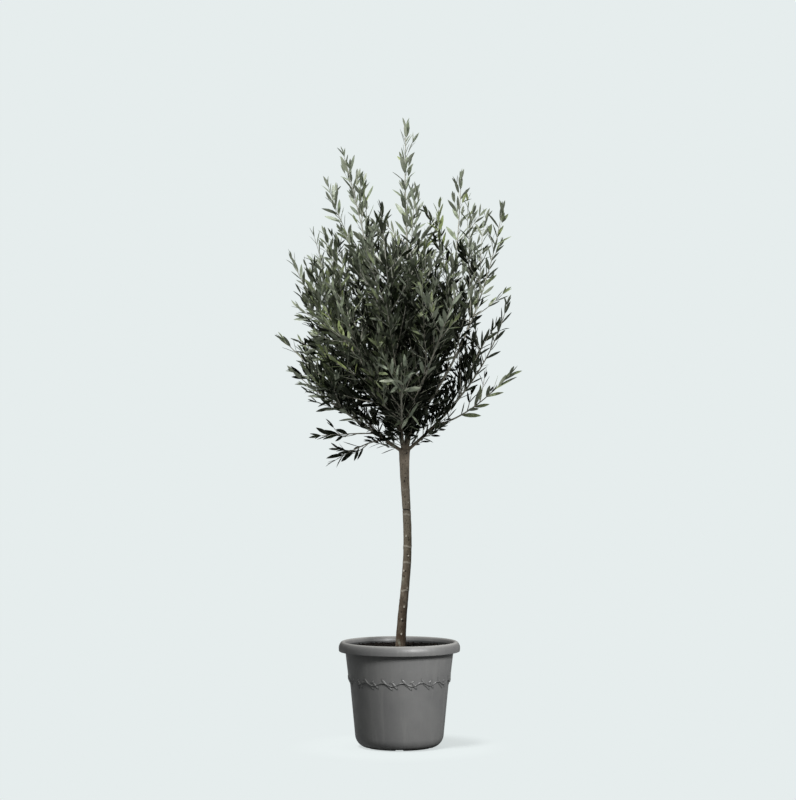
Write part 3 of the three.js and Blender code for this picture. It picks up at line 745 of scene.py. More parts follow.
def shoots_of(limb, index):
    """The side shoots of a limb's stem, lowest first."""
    draw = seeded(SEED + 977 * index)
    curve, spray = limb["curve"], limb["spray"]
    bearing = curve.length - limb["bare"] - TOP_STRETCH * spray
    count = max(3, math.floor(bearing / SHOOT_SPACING))
    shoots = []
    for k in range(count):
        share = (k + 0.2 + 0.6 * draw()) / count
        spin = math.radians(k * GOLDEN_ANGLE + 50 * draw())
        size = (SHOOT_LONG + (SHOOT_SHORT - SHOOT_LONG) * share) * (0.75 + 0.45 * draw()) * spray
        spread = math.radians(SHOOT_SPREAD * (0.75 + 0.5 * draw()))
        along = limb["bare"] + 6 + share * bearing
        tangent = curve.tangent(along)[0]
        level, across = curve.sides(tangent)
        way = math.sin(spread) * (math.cos(spin) * level + math.sin(spin) * across)
        way = way + math.cos(spread) * tangent
        lifted = unit((1 - SHOOT_LIFT) * way + SHOOT_LIFT * UP)
        foot = curve.at(along)[0]
        middle = foot + way * size / 2
        tip = middle + lifted * size / 2
        tip[:2] /= max(1, math.hypot(tip[0], tip[1]) / SHOOT_REACH)
        shoots.append(Curve(foot, middle, tip))
    return shoots


def leads_of(name, limb, table=LEADS):
    """The long shoots that stand out of a limb's mass."""
    leads = []
    for mass, foot, azimuth, reach, height in table:
        if mass == name:
            along = limb["bare"] + foot * (limb["wood"] - limb["bare"])
            way = unit(leaning(20, azimuth) + limb["curve"].tangent(along)[0])
            leads.append(bend(limb["curve"].at(along)[0], way, *tip_of(azimuth, reach, height)))
    return leads


shoots = []
for index, (name, limb) in enumerate(limbs.items()):
    shoots += [(name, curve) for curve in leads_of(name, limb) + shoots_of(limb, index)]
print("shoots:", len(shoots))

# %% [markdown]
# ## The crown's form
# A nursery tree is clipped, so its crown is an even mass with a clear underside, and only this
# year's long shoots stand out of it. The mass starts as a funnel at the fork and is fuller on
# one side. Two functions say where it begins and ends above a point, and side twigs grow
# freely inside it and rarely outside.

# %% Where the dense mass is
FUNNEL_SLOPE = 0.70
RIGHT_TUCK, RIGHT_TUCK_FROM = 2.0, 130
DENSE_TOP, DENSE_DROP = 1462, 0.0012
RIGHT_DROP, RIGHT_DROP_FROM = 0.9, 90


def mass_floor(points):
    """The lowest height of the dense mass under some points."""
    x, y = points[:, 0], points[:, 1]
    reach = np.hypot(x, y)
    right = np.clip(x / np.maximum(reach, 1) * 1.4, 0, 1)
    tuck = RIGHT_TUCK * right * np.clip(reach - RIGHT_TUCK_FROM, 0, None)
    return FORK[2] + FUNNEL_SLOPE * reach + tuck


def mass_roof(points):
    """The height where the dense mass ends and single shoots go on."""
    x, y = points[:, 0], points[:, 1]
    drop = RIGHT_DROP * np.clip(x - RIGHT_DROP_FROM, 0, None)
    return DENSE_TOP - DENSE_DROP * (x**2 + y**2) - drop


def in_mass(points, slack=0):
    """1 inside the dense mass, 0 above it and -1 below it."""
    points = np.atleast_2d(points)
    below = points[:, 2] < mass_floor(points) - slack
    above = points[:, 2] > mass_roof(points) + slack
    return np.where(below, -1, np.where(above, 0, 1))


middle = np.zeros((1, 2))
print("the dense mass above the fork:", mass_floor(middle)[0], "to", mass_roof(middle)[0], "mm")

# %% [markdown]
# Shears take off what hangs below the mass and half of what rises above it. So a shoot is
# kept by a chance that goes by where its tip is. The long leads always stay, and so do the
# small sprigs that hang free below the crown. The leader keeps a clear top.

# %% Thin the shoots outside the mass
KEEP_SHOOT = {1: 1.0, 0: 0.5, -1: 0.12}  # by in_mass: inside, above, below
MASS_SLACK = 30
STEEP = 0.5
LEAD_HANDLES = 4
LEADER_CLEAR, LEADER_CLEAR_FROM = 62, 1560


def off_leader(curve):
    """How far a tip beside the leader's bare top lies from the leader."""
    tip = curve.handles[-1]
    return math.hypot(tip[0] - FORK[0], tip[1]) * (tip[2] > LEADER_CLEAR_FROM)


def climb_of(curve):
    """How steeply a curve climbs: 1 is straight up."""
    return (curve.handles[-1] - curve.handles[0])[2] / curve.length


HANGING_SPRIGS = ("upper_sprig", "lower_sprig")
SPRIGS = ("low_right", *HANGING_SPRIGS)
twig_rng = np.random.default_rng(77)
kept = []
for name, shoot in shoots:
    state = int(in_mass(shoot.handles[-1], MASS_SLACK)[0])
    chance = 1.0 if name in SPRIGS else KEEP_SHOOT[state]
    if state < 0 and climb_of(shoot) < STEEP and name not in HANGING_SPRIGS:
        chance = 0
    if name == "leader" and off_leader(shoot) > LEADER_CLEAR:
        chance = 0
    if len(shoot.handles) == LEAD_HANDLES or twig_rng.uniform() < chance:
        kept.append((name, shoot))
shoots = kept
print("shoots kept:", len(shoots))

# %% [markdown]
# ## Twigs
# A shoot of an olive bears pairs of leaves, and in its second year each leaf's bud may grow
# into a side twig. So side twigs start along every shoot, opposite or alternate, shorter
# towards its tip, and they turn upwards as the shoots do. On the right shoulder two of three
# are left out again, so that its shoots stand apart with sky between them.

# %% Side twigs
TWIG_SPACING, TWIG_FROM, TWIG_CLEAR = 32, 0.14, 70
TWIG_LONG, TWIG_SHORTENING, TWIG_LIFT = 130, 70, 0.38
KEEP_TWIG = {1: 1.0, 0: 0.25, -1: 0.04}  # by in_mass, as for the shoots
KEEP_ON_SPRIG = 0.5
SPURRED = ("leader", "upper_left", "upper_right", "right_shoulder")
SPUR_SPACING, SPUR_FROM, SPUR_CLEAR = 27, 300, 40
OPEN_LOW, OPEN_HIGH = np.array([195, -400, 1255]), np.array([300, 400, 1415])


def side_twig(curve, along, size, spin, spread, lift=0.32):
    """A twig that starts on a curve, and turns upwards."""
    tangent = curve.tangent(along)[0]
    level, across = curve.sides(tangent)
    way = math.sin(spread) * (math.cos(spin) * level + math.sin(spin) * across)
    way = unit(way + math.cos(spread) * tangent + 0.12 * UP)
    lifted = unit((1 - lift) * way + lift * UP)
    foot = curve.at(along)[0]
    middle = foot + way * size / 2
    tip = middle + lifted * size / 2
    tip[:2] /= max(1, math.hypot(tip[0], tip[1]) / SHOOT_REACH)
    return Curve(foot, middle, tip)


twigs = []
for name, shoot in shoots:
    feet = np.arange(TWIG_FROM * shoot.length, shoot.length - TWIG_CLEAR, TWIG_SPACING)
    for k, along in enumerate(feet):
        along = along + twig_rng.uniform(-9, 9)
        share = along / shoot.length
        size = (TWIG_LONG - TWIG_SHORTENING * share) * twig_rng.uniform(0.6, 1.15)
        size *= min(1, limbs[name]["spray"] + 0.2)
        spin = k * 1.3 + twig_rng.uniform(0, 1.6) + math.pi * (k % 2)
        spread = math.radians(twig_rng.uniform(24, 52))
        twig = side_twig(shoot, along, size, spin, spread, TWIG_LIFT)
        chance = KEEP_ON_SPRIG if name in SPRIGS else KEEP_TWIG[int(in_mass(twig.handles[-1])[0])]
        if twig_rng.uniform() < chance:
            twigs.append(twig)
for name in SPURRED:
    limb = limbs[name]
    feet = np.arange(limb["wood"] - SPUR_FROM, limb["wood"] - SPUR_CLEAR, SPUR_SPACING)
    for k, along in enumerate(feet):
        spin = k * 2.4 + twig_rng.uniform(0, 1)
        size = twig_rng.uniform(42, 78)
        twigs.append(side_twig(limb["curve"], along, size, spin, math.radians(30)))
tips = np.array([twig.handles[-1] for twig in twigs])
in_open = np.all((tips > OPEN_LOW) & (tips < OPEN_HIGH), axis=1)
left_out = in_open & (np.cumsum(in_open) % 3 > 0)
twigs = [twig for twig, out in zip(twigs, left_out) if not out]
print("side twigs:", len(twigs))

# %% [markdown]
# Old wood near the fork throws short leafy twigs of its own, and they make the heart of the
# crown dark and close; their leaves also carry painted shade. They follow the bare part of each
# limb, and a twig is kept where its tip is in the mass, or not far out of it. The three lowest
# limbs are leafy further out.

# %% Short twigs on the old wood
INNER_SPACING, INNER_FROM = 7, 22
INNER_END = {"low_right": 95, "right": 315, "low_left": 305}
INNER_SLACK = {"low_right": 62, "right": 52, "low_left": 42}
inner_twigs = []
for name, limb in limbs.items():
    if name in HANGING_SPRIGS:
        continue
    feet = np.arange(INNER_FROM, INNER_END.get(name, limb["bare"] + 50), INNER_SPACING)
    for k, along in enumerate(feet):
        size = twig_rng.uniform(55, 120)
        spin = math.radians(k * GOLDEN_ANGLE + twig_rng.uniform(0, 50))
        spread = math.radians(twig_rng.uniform(35, 70))
        twig = side_twig(limb["curve"], along, size, spin, spread, 0.2)
        if in_mass(twig.handles[-1], INNER_SLACK.get(name, 14))[0] == 1:
            inner_twigs.append(twig)
print("twigs on old wood:", len(inner_twigs))

# %% [markdown]
# Chance alone won't put a shoot where the eye wants one. So three shoots with light tints, which
# are painted light, are set in front of the dark heart, and seven more, with side twigs, fill the
# left shoulder. They are drawn as a maker would add wires to a finished frame: from a limb that
# is there already.

# %% Shoots set one by one
SHADE, DEEP, MID, GREY, PALE, YOUNG = range(6)  # the leaves' tints
FRONT_SHOOTS = [  # limb, where on it, tip, lean of the tip, tint, how far its leaves open
    # Their grey and pale tints are painted light on shoots that stand in the crown's shade.
    ("low_front", 215, (-40, -308, 1128), 12, GREY, 16),
    ("low_front", 170, (16, -300, 1112), 16, GREY, 16),
    ("upper_front", 70, (34, -196, 955), 80, PALE, 42),
]
SHOULDER_SHOOTS = [  # as in LEADS
    ("left_shoulder", 0.35, 193, 228, 1494),
    ("left_shoulder", 0.22, 172, 196, 1482),
    ("left_shoulder", 0.30, 205, 218, 1440),
    ("left_shoulder", 0.55, 178, 283, 1408),
    ("left_shoulder", 0.45, 200, 262, 1375),
    ("left_shoulder", 0.50, 165, 248, 1425),
    ("upper_left", 0.25, 200, 165, 1468),
]
FRONT = 270  # the azimuth that faces the viewer
FILL_SPACING, FILL_FROM, FILL_CLEAR = 36, 0.3, 60
fill_rng = np.random.default_rng(31)
front_shoots = []
for name, along, tip, lean, *finish in FRONT_SHOOTS:
    curve = limbs[name]["curve"]
    way = unit(leaning(70, FRONT) + curve.tangent(along)[0])
    shoot = bend(curve.at(along)[0], way, np.array(tip, dtype=float), leaning(lean, FRONT))
    front_shoots.append((shoot, *finish))
shoulder_shoots, fill_twigs = [], []
for name in ("left_shoulder", "upper_left"):
    shoulder_shoots += leads_of(name, limbs[name], SHOULDER_SHOOTS)
for shoot in shoulder_shoots:
    feet = np.arange(FILL_FROM * shoot.length, shoot.length - FILL_CLEAR, FILL_SPACING)
    for k, along in enumerate(feet):
        size = fill_rng.uniform(48, 96)
        spin = k * 2.4 + fill_rng.uniform(0, 1.6)
        spread = math.radians(fill_rng.uniform(24, 48))
        fill_twigs.append(side_twig(shoot, along, size, spin, spread, TWIG_LIFT))
print("shoots set by hand:", len(front_shoots) + len(shoulder_shoots), "twigs:", len(fill_twigs))

# %% [markdown]
# The lowest limb on the right carries a hem of short twigs whose leaves carry painted shade. Near
# the fork they go all ways round it, and further out only those that climb are kept, so that its
# underside stays clean. They need no table: the golden angle and a test of where each tip lies
# are enough.

# %% Fill the right underside
HEM_SLACK = 84
HEM_SPACING, HEM_FROM, HEM_TO = 6, 60, 320
HEM_NEAR, HEM_CLIMB_NEAR, HEM_CLIMB = 140, -0.2, 0.62
hem_twigs = []
hem = limbs["right"]["curve"]
for k, along in enumerate(np.arange(HEM_FROM, HEM_TO, HEM_SPACING)):
    size = fill_rng.uniform(45, 88)
    spin = math.radians(k * GOLDEN_ANGLE + fill_rng.uniform(0, 50))
    twig = side_twig(hem, along, size, spin, math.radians(fill_rng.uniform(28, 62)), 0.25)
    least = HEM_CLIMB if along > HEM_NEAR else HEM_CLIMB_NEAR
    if climb_of(twig) > least and in_mass(twig.handles[-1], HEM_SLACK)[0] == 1:
        hem_twigs.append(twig)
print("twigs along the right hem:", len(hem_twigs))

# %% [markdown]
# A twig is drawn as a tapered tube: rings of a few points each, square to the curve, and a
# point at each end to close it. Four sides are plenty for a thing one millimetre thick. A
# curve object with a bevel does the same by hand, but a thousand of them would be slow.

# %% Tubes along curves
TIP_RADIUS, LIMB_TAPER = 1.0, 1.3


def tube(curve, start, end, radius_at, sides, steps):
    """Rings of points along a curve, with a point at each end, and their faces."""
    along = np.linspace(start, end, steps)
    middles, tangents = curve.at(along), curve.tangent(along)
    level, across = curve.sides(tangents)
    radii = np.array([radius_at(value) for value in along])[:, None, None]
    angles = np.linspace(0, 2 * math.pi, sides, endpoint=False)
    cosines, sines = np.cos(angles)[None, :, None], np.sin(angles)[None, :, None]
    rings = middles[:, None] + radii * (cosines * level[:, None] + sines * across[:, None])
    points = np.concatenate([rings.reshape(-1, 3), middles[:1], middles[-1:]])
    ring = np.arange(sides)
    around = (ring + 1) % sides
    base, cap = len(points) - 2, len(points) - 1
    last = (steps - 1) * sides
    triangles = [np.stack([around, ring, np.full(sides, base)], 1)]
    triangles.append(np.stack([last + ring, last + around, np.full(sides, cap)], 1))
    return points, grid_faces(steps, sides), np.concatenate(triangles)


def join_tubes(tubes):
    """Several tubes as one set of points and faces."""
    points, quads, triangles, count = [], [], [], 0
    for tube_points, tube_quads, tube_triangles in tubes:
        points.append(tube_points)
        quads.append(tube_quads + count)
        triangles.append(tube_triangles + count)
        count += len(tube_points)
    return np.concatenate(points), np.concatenate(quads), np.concatenate(triangles)


def limb_radius(limb, along):
    """A limb's radius at a length along it."""
    left = 1 - min(along / limb["wood"], 1)
    return TIP_RADIUS + (limb["radius"] - TIP_RADIUS) * left**LIMB_TAPER


print("the leader thins from", limb_radius(limbs["leader"], 0), "to", TIP_RADIUS, "mm")

# %% [markdown]
# Young olive wood is smooth and grey-brown, and this year's shoots are paler and greener. Both
# carry a pale bloom, thicker towards the top of the crown. Two finishes need it, so it is a node
# group: it lays the bloom's colour over any other, by height. What lies under it is the mottle
# group again, drawn out along Z for the older wood, so that the patches run with the grain.

# %% The bloom group
bloom, given, result = start_group(
    "bloom",
    {
        "Color": (COLOUR, (0.2, 0.2, 0.2, 1.0)),
        "Bloom": (COLOUR, (0.47, 0.475, 0.43, 1.0)),
        "From Height": (NUMBER, 1.15),
        "To Height": (NUMBER, 1.42),
        "Most": (NUMBER, 0.6),
    },
    {"Color": COLOUR},
)
ends = (given["From Height"], given["To Height"])
thickness = remap(bloom, height_above_floor(bloom), *ends, 0, given["Most"])
bloomed = blend_colours(bloom, thickness, given["Color"], given["Bloom"])
bloom.links.new(bloomed, result.inputs["Color"])
print("group made:", bloom.name)

# %% Twig finishes
WOOD_BROWNS = ((0.15, 0.14, 0.11), (0.33, 0.32, 0.27))
SHOOT_GREENS = ((0.18, 0.19, 0.14), (0.34, 0.35, 0.275))


def give_bloom(tree, shader, tone, relief, depth):
    """A twig's colour under its bloom, and its bumps."""
    bloomed = place(tree, "ShaderNodeGroup", {"Color": tone["Color"]}, node_tree=bloom)
    tree.links.new(bloomed.outputs["Color"], shader.inputs["Base Color"])
    add_bump(tree, shader, [(tone["Height"], relief)], depth)


young_wood, tree, shader = start_finish("young grey-brown wood", 0.8, 0.25)
give_bloom(tree, shader, use_mottle(tree, 120, WOOD_BROWNS, 0.35, 0.68, (1, 1, 0.4)), 0.5, 0.0006)
green_wood, tree, shader = start_finish("green shoot", 0.65, 0.3)
give_bloom(tree, shader, use_mottle(tree, 140, SHOOT_GREENS), 0.3, 0.0004)

# %% [markdown]
# The leafy part of every limb and all the shoots are joined into one mesh, and the finer twigs
# into another. Thousands of objects would slow Blender down, and two meshes with a finish each
# are easy to change. Each limb's tube starts three millimetres inside its bare wood, so that
# no gap shows between the two.

# %% Twig meshes
def wood_of(twig):
    """How far a twig's wood goes before its last leaves."""
    return max(12, twig.length - 0.75 * TIP_LEAF)


def tapered(curve, wood, foot_radius, thinning, sides, steps):
    """A tube that thins evenly from its foot."""
    return tube(curve, 0, wood, lambda along: foot_radius - thinning * along / wood, sides, steps)


stem_tubes = []
for limb in limbs.values():
    ends = (limb["bare"] - 3, limb["wood"])
    steps = int((limb["wood"] - limb["bare"]) / 12)
    stem_tubes.append(tube(limb["curve"], *ends, lambda along: limb_radius(limb, along), 8, steps))
for name, shoot in shoots:
    stem_tubes.append(tapered(shoot, shoot.length - TIP_LEAF, 1.7, 0.9, 5, 9))
all_twigs = twigs + inner_twigs + fill_twigs + hem_twigs
green_tubes = [tapered(twig, wood_of(twig), 1.0, 0.45, 4, 5) for twig in all_twigs]
for shoot in [shoot for shoot, *finish in front_shoots] + shoulder_shoots:
    green_tubes.append(tapered(shoot, shoot.length - TIP_LEAF, 1.6, 0.8, 5, 9))
stems = make_piece("stems_and_shoots", *join_tubes(stem_tubes), [young_wood])
side_twigs = make_piece("side_twigs", *join_tubes(green_tubes), [green_wood])
foliage_nodes = ["foliage_" + name for name in limbs]
hand_over(stems, "foliage", *foliage_nodes)
hand_over(side_twigs, "foliage")

# %% [markdown]
# ## Leaves
# An olive leaf is a narrow lance, four to five centimetres long and a fifth as wide, stiff,
# folded a little along its rib and bent a little along its length. The upper face is dark
# grey-green and waxy, and the lower face is silvery with fine scales. Leaves sit in pairs,
# each pair square to the one before. A flat card would do from far off, but the two colours
# and the fold are what make an olive look like an olive, so each leaf is a thin closed shape
# of two dozen faces whose upper and lower sides are different materials.

# %% Where the leaves sit
LEAF_LENGTH, LEAF_SPACING = 46, 25
leaf_rng = np.random.default_rng(5)
leaf_rows = []  # foot, way, upper side, length, tint


def roll(way, upper, angle):
    """The upper side's direction turned about the leaf's own length."""
    upper = unit(upper - np.dot(upper, way) * way)
    return math.cos(angle) * upper + math.sin(angle) * np.cross(way, upper)


def leafy(curve, start, wood, tint, size=1.0, thin=0.0, opened=0):
    """Pairs of leaves along a twig, smaller and closer to it near its tip."""
    nodes = np.arange(wood, start, -LEAF_SPACING * leaf_rng.uniform(0.85, 1.2))
    if not len(nodes):
        return
    feet, tangents = curve.at(nodes), curve.tangent(nodes)
    level, across = curve.sides(tangents)
    first = leaf_rng.uniform(0, math.pi)
    for k, (foot, tangent) in enumerate(zip(feet, tangents)):
        turned_to = first + k * math.pi / 2 + leaf_rng.normal(0, 0.25)
        side = math.cos(turned_to) * level[k] + math.sin(turned_to) * across[k]
        for sign in (1, -1):
            if k > 1 and leaf_rng.uniform() < 0.05 + thin:
                continue
            angle = math.radians(leaf_rng.normal(18 + 5 * min(k, 4) + opened, 9))
            way = unit(math.cos(angle) * tangent + sign * math.sin(angle) * side + 0.08 * UP)
            upper = roll(way, 0.8 * tangent + 0.5 * UP, leaf_rng.normal(0, 0.8))
            length = LEAF_LENGTH * size * min(1, 0.66 + 0.17 * k) * leaf_rng.uniform(0.85, 1.32)
            leaf_rows.append((foot, way, upper, length, tint))
    way = unit(tangents[0] + leaf_rng.normal(0, 0.1, 3))
    upper = roll(way, level[0], leaf_rng.uniform(0, 6.28))
    leaf_rows.append((feet[0], way, upper, TIP_LEAF * size * 0.9, tint))


print("a pair of leaves about every", LEAF_SPACING, "mm")

# %% [markdown]
# Shoots high and outside in the crown, and a little more on the left where the sun comes from,
# take grey-green to silvery tints, and those in the heart and on the underside a nearly
# black-green: these colours are painted light and shade. A few of the newest are a fresh
# yellow-green, their own colour. So the tint goes by how deep in the crown a shoot's tip lies.

# %% Deal out the tints and grow the leaves
CROWN_MIDDLE = np.array([0, 0, 1330])
CROWN_HALF = np.array([345, 330, 500])
LIGHT_STEPS = [0.11, 0.38, 0.69, 1.05]  # where SHADE, DEEP, MID and GREY end
YOUNG_CHANCE, YOUNG_FROM = 0.06, 0.42


def tint_of(curve):
    """A tint for a whole twig, by how much light reaches its tip."""
    away = (curve.handles[-1] - CROWN_MIDDLE) / CROWN_HALF
    # Higher, further out and further left gives a lighter tint: painted light and shade.
    light = 0.55 * np.linalg.norm(away) + 0.86 * away[2] - 0.15 * away[0]
    light += leaf_rng.normal(0, 0.27)
    if leaf_rng.uniform() < YOUNG_CHANCE * (light > YOUNG_FROM):
        return YOUNG
    return int(np.searchsorted(LIGHT_STEPS, light))


def leafy_twigs(group, size, deepest=YOUNG):
    """Leaves on each twig of a group, no lighter than a tint."""
    for twig in group:
        leafy(twig, 6, wood_of(twig), min(tint_of(twig), deepest), size)


for name, limb in limbs.items():
    start = max(limb["bare"] + 30, limb["wood"] - 330)
    extra = 0.1 * (name in SPRIGS)
    leafy(limb["curve"], start, limb["wood"], tint_of(limb["curve"]), 1 + extra, extra)
for name, shoot in shoots:
    leafy(shoot, 0.2 * shoot.length, shoot.length - TIP_LEAF, tint_of(shoot))
leafy_twigs(twigs, 0.95)
# Twigs on the old wood are held to the two darkest tints, as painted shade.
leafy_twigs(inner_twigs, 0.9, DEEP)
for shoot, tint, opened in front_shoots:
    leafy(shoot, 0.2 * shoot.length, shoot.length - TIP_LEAF, tint, 1.15, 0, opened)
for shoot in shoulder_shoots:
    leafy(shoot, 0.25 * shoot.length, shoot.length - TIP_LEAF, tint_of(shoot))
leafy_twigs(fill_twigs, 0.95)
# The twigs along the right hem are held to the two darkest tints, as painted shade.
leafy_twigs(hem_twigs, 0.85, DEEP)
print("leaves:", len(leaf_rows))

# %% [markdown]
# All leaves of a tint are made at once. Five stations along a leaf each have a left edge, a
# rib, a right edge and a point under the rib, and a point closes each end. Each leaf gets its
# own width, fold, curl and sway, which no instance of one modelled leaf could have.

# %% The leaf's shape
STATIONS = np.array([0.07, 0.20, 0.42, 0.68, 0.89])
HALF_WIDTHS = np.array([0.18, 0.66, 0.98, 0.90, 0.42])
NARROWEST, WIDEST = 0.088, 0.120  # half widths, as shares of the length
LEAF_THICKNESS = 0.45


def leaf_meshes(rows):
    """Points, quads, triangles and the faces' sides (0 upper, 1 lower) of many leaves."""
    foot, way, upper = (np.array([row[k] for row in rows]) for k in range(3))
    length = np.array([row[3] for row in rows])
    count = len(rows)
    width = length * leaf_rng.uniform(NARROWEST, WIDEST, count)
    upper = unit(upper - np.sum(upper * way, 1, keepdims=True) * way)
    blade = np.cross(way, upper)
    curl = leaf_rng.normal(0.07, 0.07, count)
    fold = leaf_rng.uniform(0.12, 0.5, count)
    sway = leaf_rng.normal(0, 0.05, count)

    def point(share, aside, lift):
        """Points at a share of the length, a number of half widths aside, lifted in mm."""
        rise = (0.25 * curl - curl * share**2) * length + lift + 0.5 * fold * abs(aside) * width
        shift = aside * width + sway * length * share**2
        on_rib = foot + (share * length)[:, None] * way
        return on_rib + shift[:, None] * blade + rise[:, None] * upper

    zero, one = np.zeros(count), np.ones(count)
    columns = [point(zero, 0, -0.25 * curl * length), point(one, 0, 0)]
    for station, half in zip(STATIONS, HALF_WIDTHS):
        share = np.full(count, station)
        columns += [point(share, -half, 0), point(share, 0, 0), point(share, half, 0)]
        columns.append(point(share, 0, -LEAF_THICKNESS))
    points = np.stack(columns, axis=1).reshape(-1, 3)
    quads, triangles = [], []
    left, right = 2, 4
    for rib, flip in ((3, False), (5, True)):
        for a, b in ((left, rib), (rib, right)):
            end = 4 * (len(STATIONS) - 1)
            triangle = [[0, b, a], [a + end, b + end, 1]]
            quad = [[a + k, b + k, b + k + 4, a + k + 4] for k in range(0, end, 4)]
            triangles += [t[::-1] if flip else t for t in triangle]
            quads += [q[::-1] if flip else q for q in quad]
    shift = (len(columns) * np.arange(count))[:, None, None]
    sides = [np.tile(np.repeat([0, 1], len(faces) // 2), count) for faces in (quads, triangles)]
    quads, triangles = (np.array(faces)[None] + shift for faces in (quads, triangles))
    return points, quads.reshape(-1, 4), triangles.reshape(-1, 3), np.concatenate(sides)


print("points in a leaf:", 4 * len(STATIONS) + 2)

# %% [markdown]
# The leaf's finish has a soft waxy gloss on the upper side and almost none below. Each tint is
# its own material with a plain base colour that the mottle group sways a little, and it is
# dealt out by spray. The tints are lit and shaded copies of one leaf, so their colours are
# painted light and shade; only the young tint is a colour of its own.

# %% Leaf finishes
# Each tint's colours are painted light and shade, except the young one.
LIT_AND_SHADED_LEAF_COLOURS = {
    SHADE: ((0.0018, 0.0026, 0.0010), (0.008, 0.0110, 0.0052)),
    DEEP: ((0.008, 0.0106, 0.005), (0.040, 0.050, 0.028)),
    MID: ((0.046, 0.056, 0.028), (0.170, 0.202, 0.108)),
    GREY: ((0.062, 0.074, 0.052), (0.228, 0.262, 0.195)),
    PALE: ((0.075, 0.092, 0.056), (0.248, 0.288, 0.196)),
    YOUNG: ((0.110, 0.140, 0.048), (0.190, 0.225, 0.090)),
}
LIT_AND_SHADED_UNDER_COLOURS = {
    SHADE: ((0.008, 0.010, 0.006), (0.024, 0.028, 0.019)),
    DEEP: ((0.036, 0.042, 0.029), (0.092, 0.105, 0.075)),
    MID: ((0.120, 0.136, 0.098), (0.240, 0.264, 0.200)),
    GREY: ((0.200, 0.222, 0.162), (0.350, 0.380, 0.292)),
    PALE: ((0.240, 0.264, 0.196), (0.400, 0.426, 0.340)),
    YOUNG: ((0.20, 0.24, 0.12), (0.32, 0.36, 0.21)),
}
LEAF_GLOSS = {SHADE: 0.03, DEEP: 0.08, MID: 0.22, GREY: 0.3, PALE: 0.3, YOUNG: 0.3}


def leaf_finish(name, colours, roughness, specular):
    """One side of a leaf."""
    material, tree, shader = start_finish(name, roughness, specular)
    tone = use_mottle(tree, 55, colours, 0.3, 0.7)
    tree.links.new(tone["Color"], shader.inputs["Base Color"])
    fine = use_mottle(tree, 1400, ((0, 0, 0), (1, 1, 1)))
    add_bump(tree, shader, [(fine["Height"], 0.2)], 0.0004)
    return material


for tint, tint_name in enumerate(("shade", "deep", "mid", "grey", "pale", "young")):
    rows = [row for row in leaf_rows if row[4] == tint]
    *mesh, sides = leaf_meshes(rows)
    finishes = [
        leaf_finish("leaf upper " + tint_name, LIT_AND_SHADED_LEAF_COLOURS[tint], 0.42, LEAF_GLOSS[tint]),
        leaf_finish("leaf under " + tint_name, LIT_AND_SHADED_UNDER_COLOURS[tint], 0.8, 0.1),
    ]
    leaves = make_piece("leaves_" + tint_name, *mesh, finishes, sides)
    hand_over(leaves, "foliage")

# %% [markdown]
# ## Bark
# The trunk and boughs are one skin of wood: the fork swells, the boughs run out of it with
# soft collars, and old side shoots have left small scars. Separate tubes would meet in hard
# seams, so the tubes are only a rough shape. A voxel remesh melts them into one skin, a few
# rounds of smoothing soften the seams, and noise along the surface raises the bark's relief.

# %% Rough wood for the remesh
TRUNK_TOP = 850
TRUNK_FOOT_X, TRUNK_TOP_X, TRUNK_BOW = 3.7, 14.5, 14
TRUNK_RADIUS, FLARE, FLARE_HEIGHT, SWELL, SWELL_HEIGHT = 11.6, 4, 90, 4.6, 70
TRUNK_SUNK = 9  # how far the bark goes on into the soil
COLLAR, COLLAR_LENGTH = 1.6, 9


class TrunkLine:
    """The trunk's middle line, walked along by height above the soil."""

    def at(self, along):
        share = np.atleast_1d(along) / (TRUNK_TOP - SOIL_HEIGHT)
        swing = TRUNK_BOW * np.sin(math.pi * share) ** 2
        x = TRUNK_FOOT_X + (TRUNK_TOP_X - TRUNK_FOOT_X) * share + swing
        return np.stack([x, -0.3 * swing, SOIL_HEIGHT + np.atleast_1d(along)], 1)

    def tangent(self, along):
        return unit(self.at(np.asarray(along) + 1) - self.at(np.asarray(along) - 1))

    def sides(self, tangent):
        across = unit(np.cross(tangent, [0.0, 1.0, 0.0]))
        return np.cross(across, tangent), across


def trunk_radius(along):
    """The trunk's radius at a height above the soil."""
    flare = FLARE * math.exp(-max(along, 0) / FLARE_HEIGHT)
    swell = SWELL * math.exp((along - (TRUNK_TOP - SOIL_HEIGHT)) / SWELL_HEIGHT)
    return TRUNK_RADIUS + flare + swell


wood_length = TRUNK_TOP - SOIL_HEIGHT
wood_tubes = [tube(TrunkLine(), -TRUNK_SUNK, wood_length, trunk_radius, 32, 90)]
for limb in limbs.values():
    steps = int(limb["bare"] / 5)
    radius_at = lambda along: limb_radius(limb, along) + COLLAR * math.exp(-along / COLLAR_LENGTH)
    wood_tubes.append(tube(limb["curve"], 0, limb["bare"] + 4, radius_at, 14, steps))
print("rough tubes:", len(wood_tubes))

# %% [markdown]
# The bark of a young olive is smooth. It goes from dark brown at the soil to a pale grey-brown
# below the crown, where the paler colour is painted light against the crown's shade, and is
# darker again at the fork, which is painted shade. A colour ramp on height gives that run.
# Three mottles lay patches, lichen and cracks over it, and a number kept on each point of the
# mesh, made next, darkens knots, paints shade in the ring groove, and lightens scars.

# %% Bark finish
BARK_TONES_AND_PAINTED_LIGHT = [  # height in metres, colour there: bark tone, with painted light below the crown and painted shade at the fork
    (0.32, (0.040, 0.026, 0.016)),
    (0.60, (0.078, 0.066, 0.047)),
    (0.70, (0.150, 0.130, 0.100)),
    (0.82, (0.330, 0.272, 0.212)),
    (0.88, (0.070, 0.057, 0.042)),
]
PATCH_BROWN, LICHEN_GREY = (0.125, 0.106, 0.080), (0.185, 0.190, 0.150)
CRACK_BLACK = (0.014, 0.010, 0.007)
KNOT_BLACK_AND_GROOVE_SHADE, SCAR_PALE = (0.008, 0.006, 0.005, 1), (0.36, 0.34, 0.29, 1)

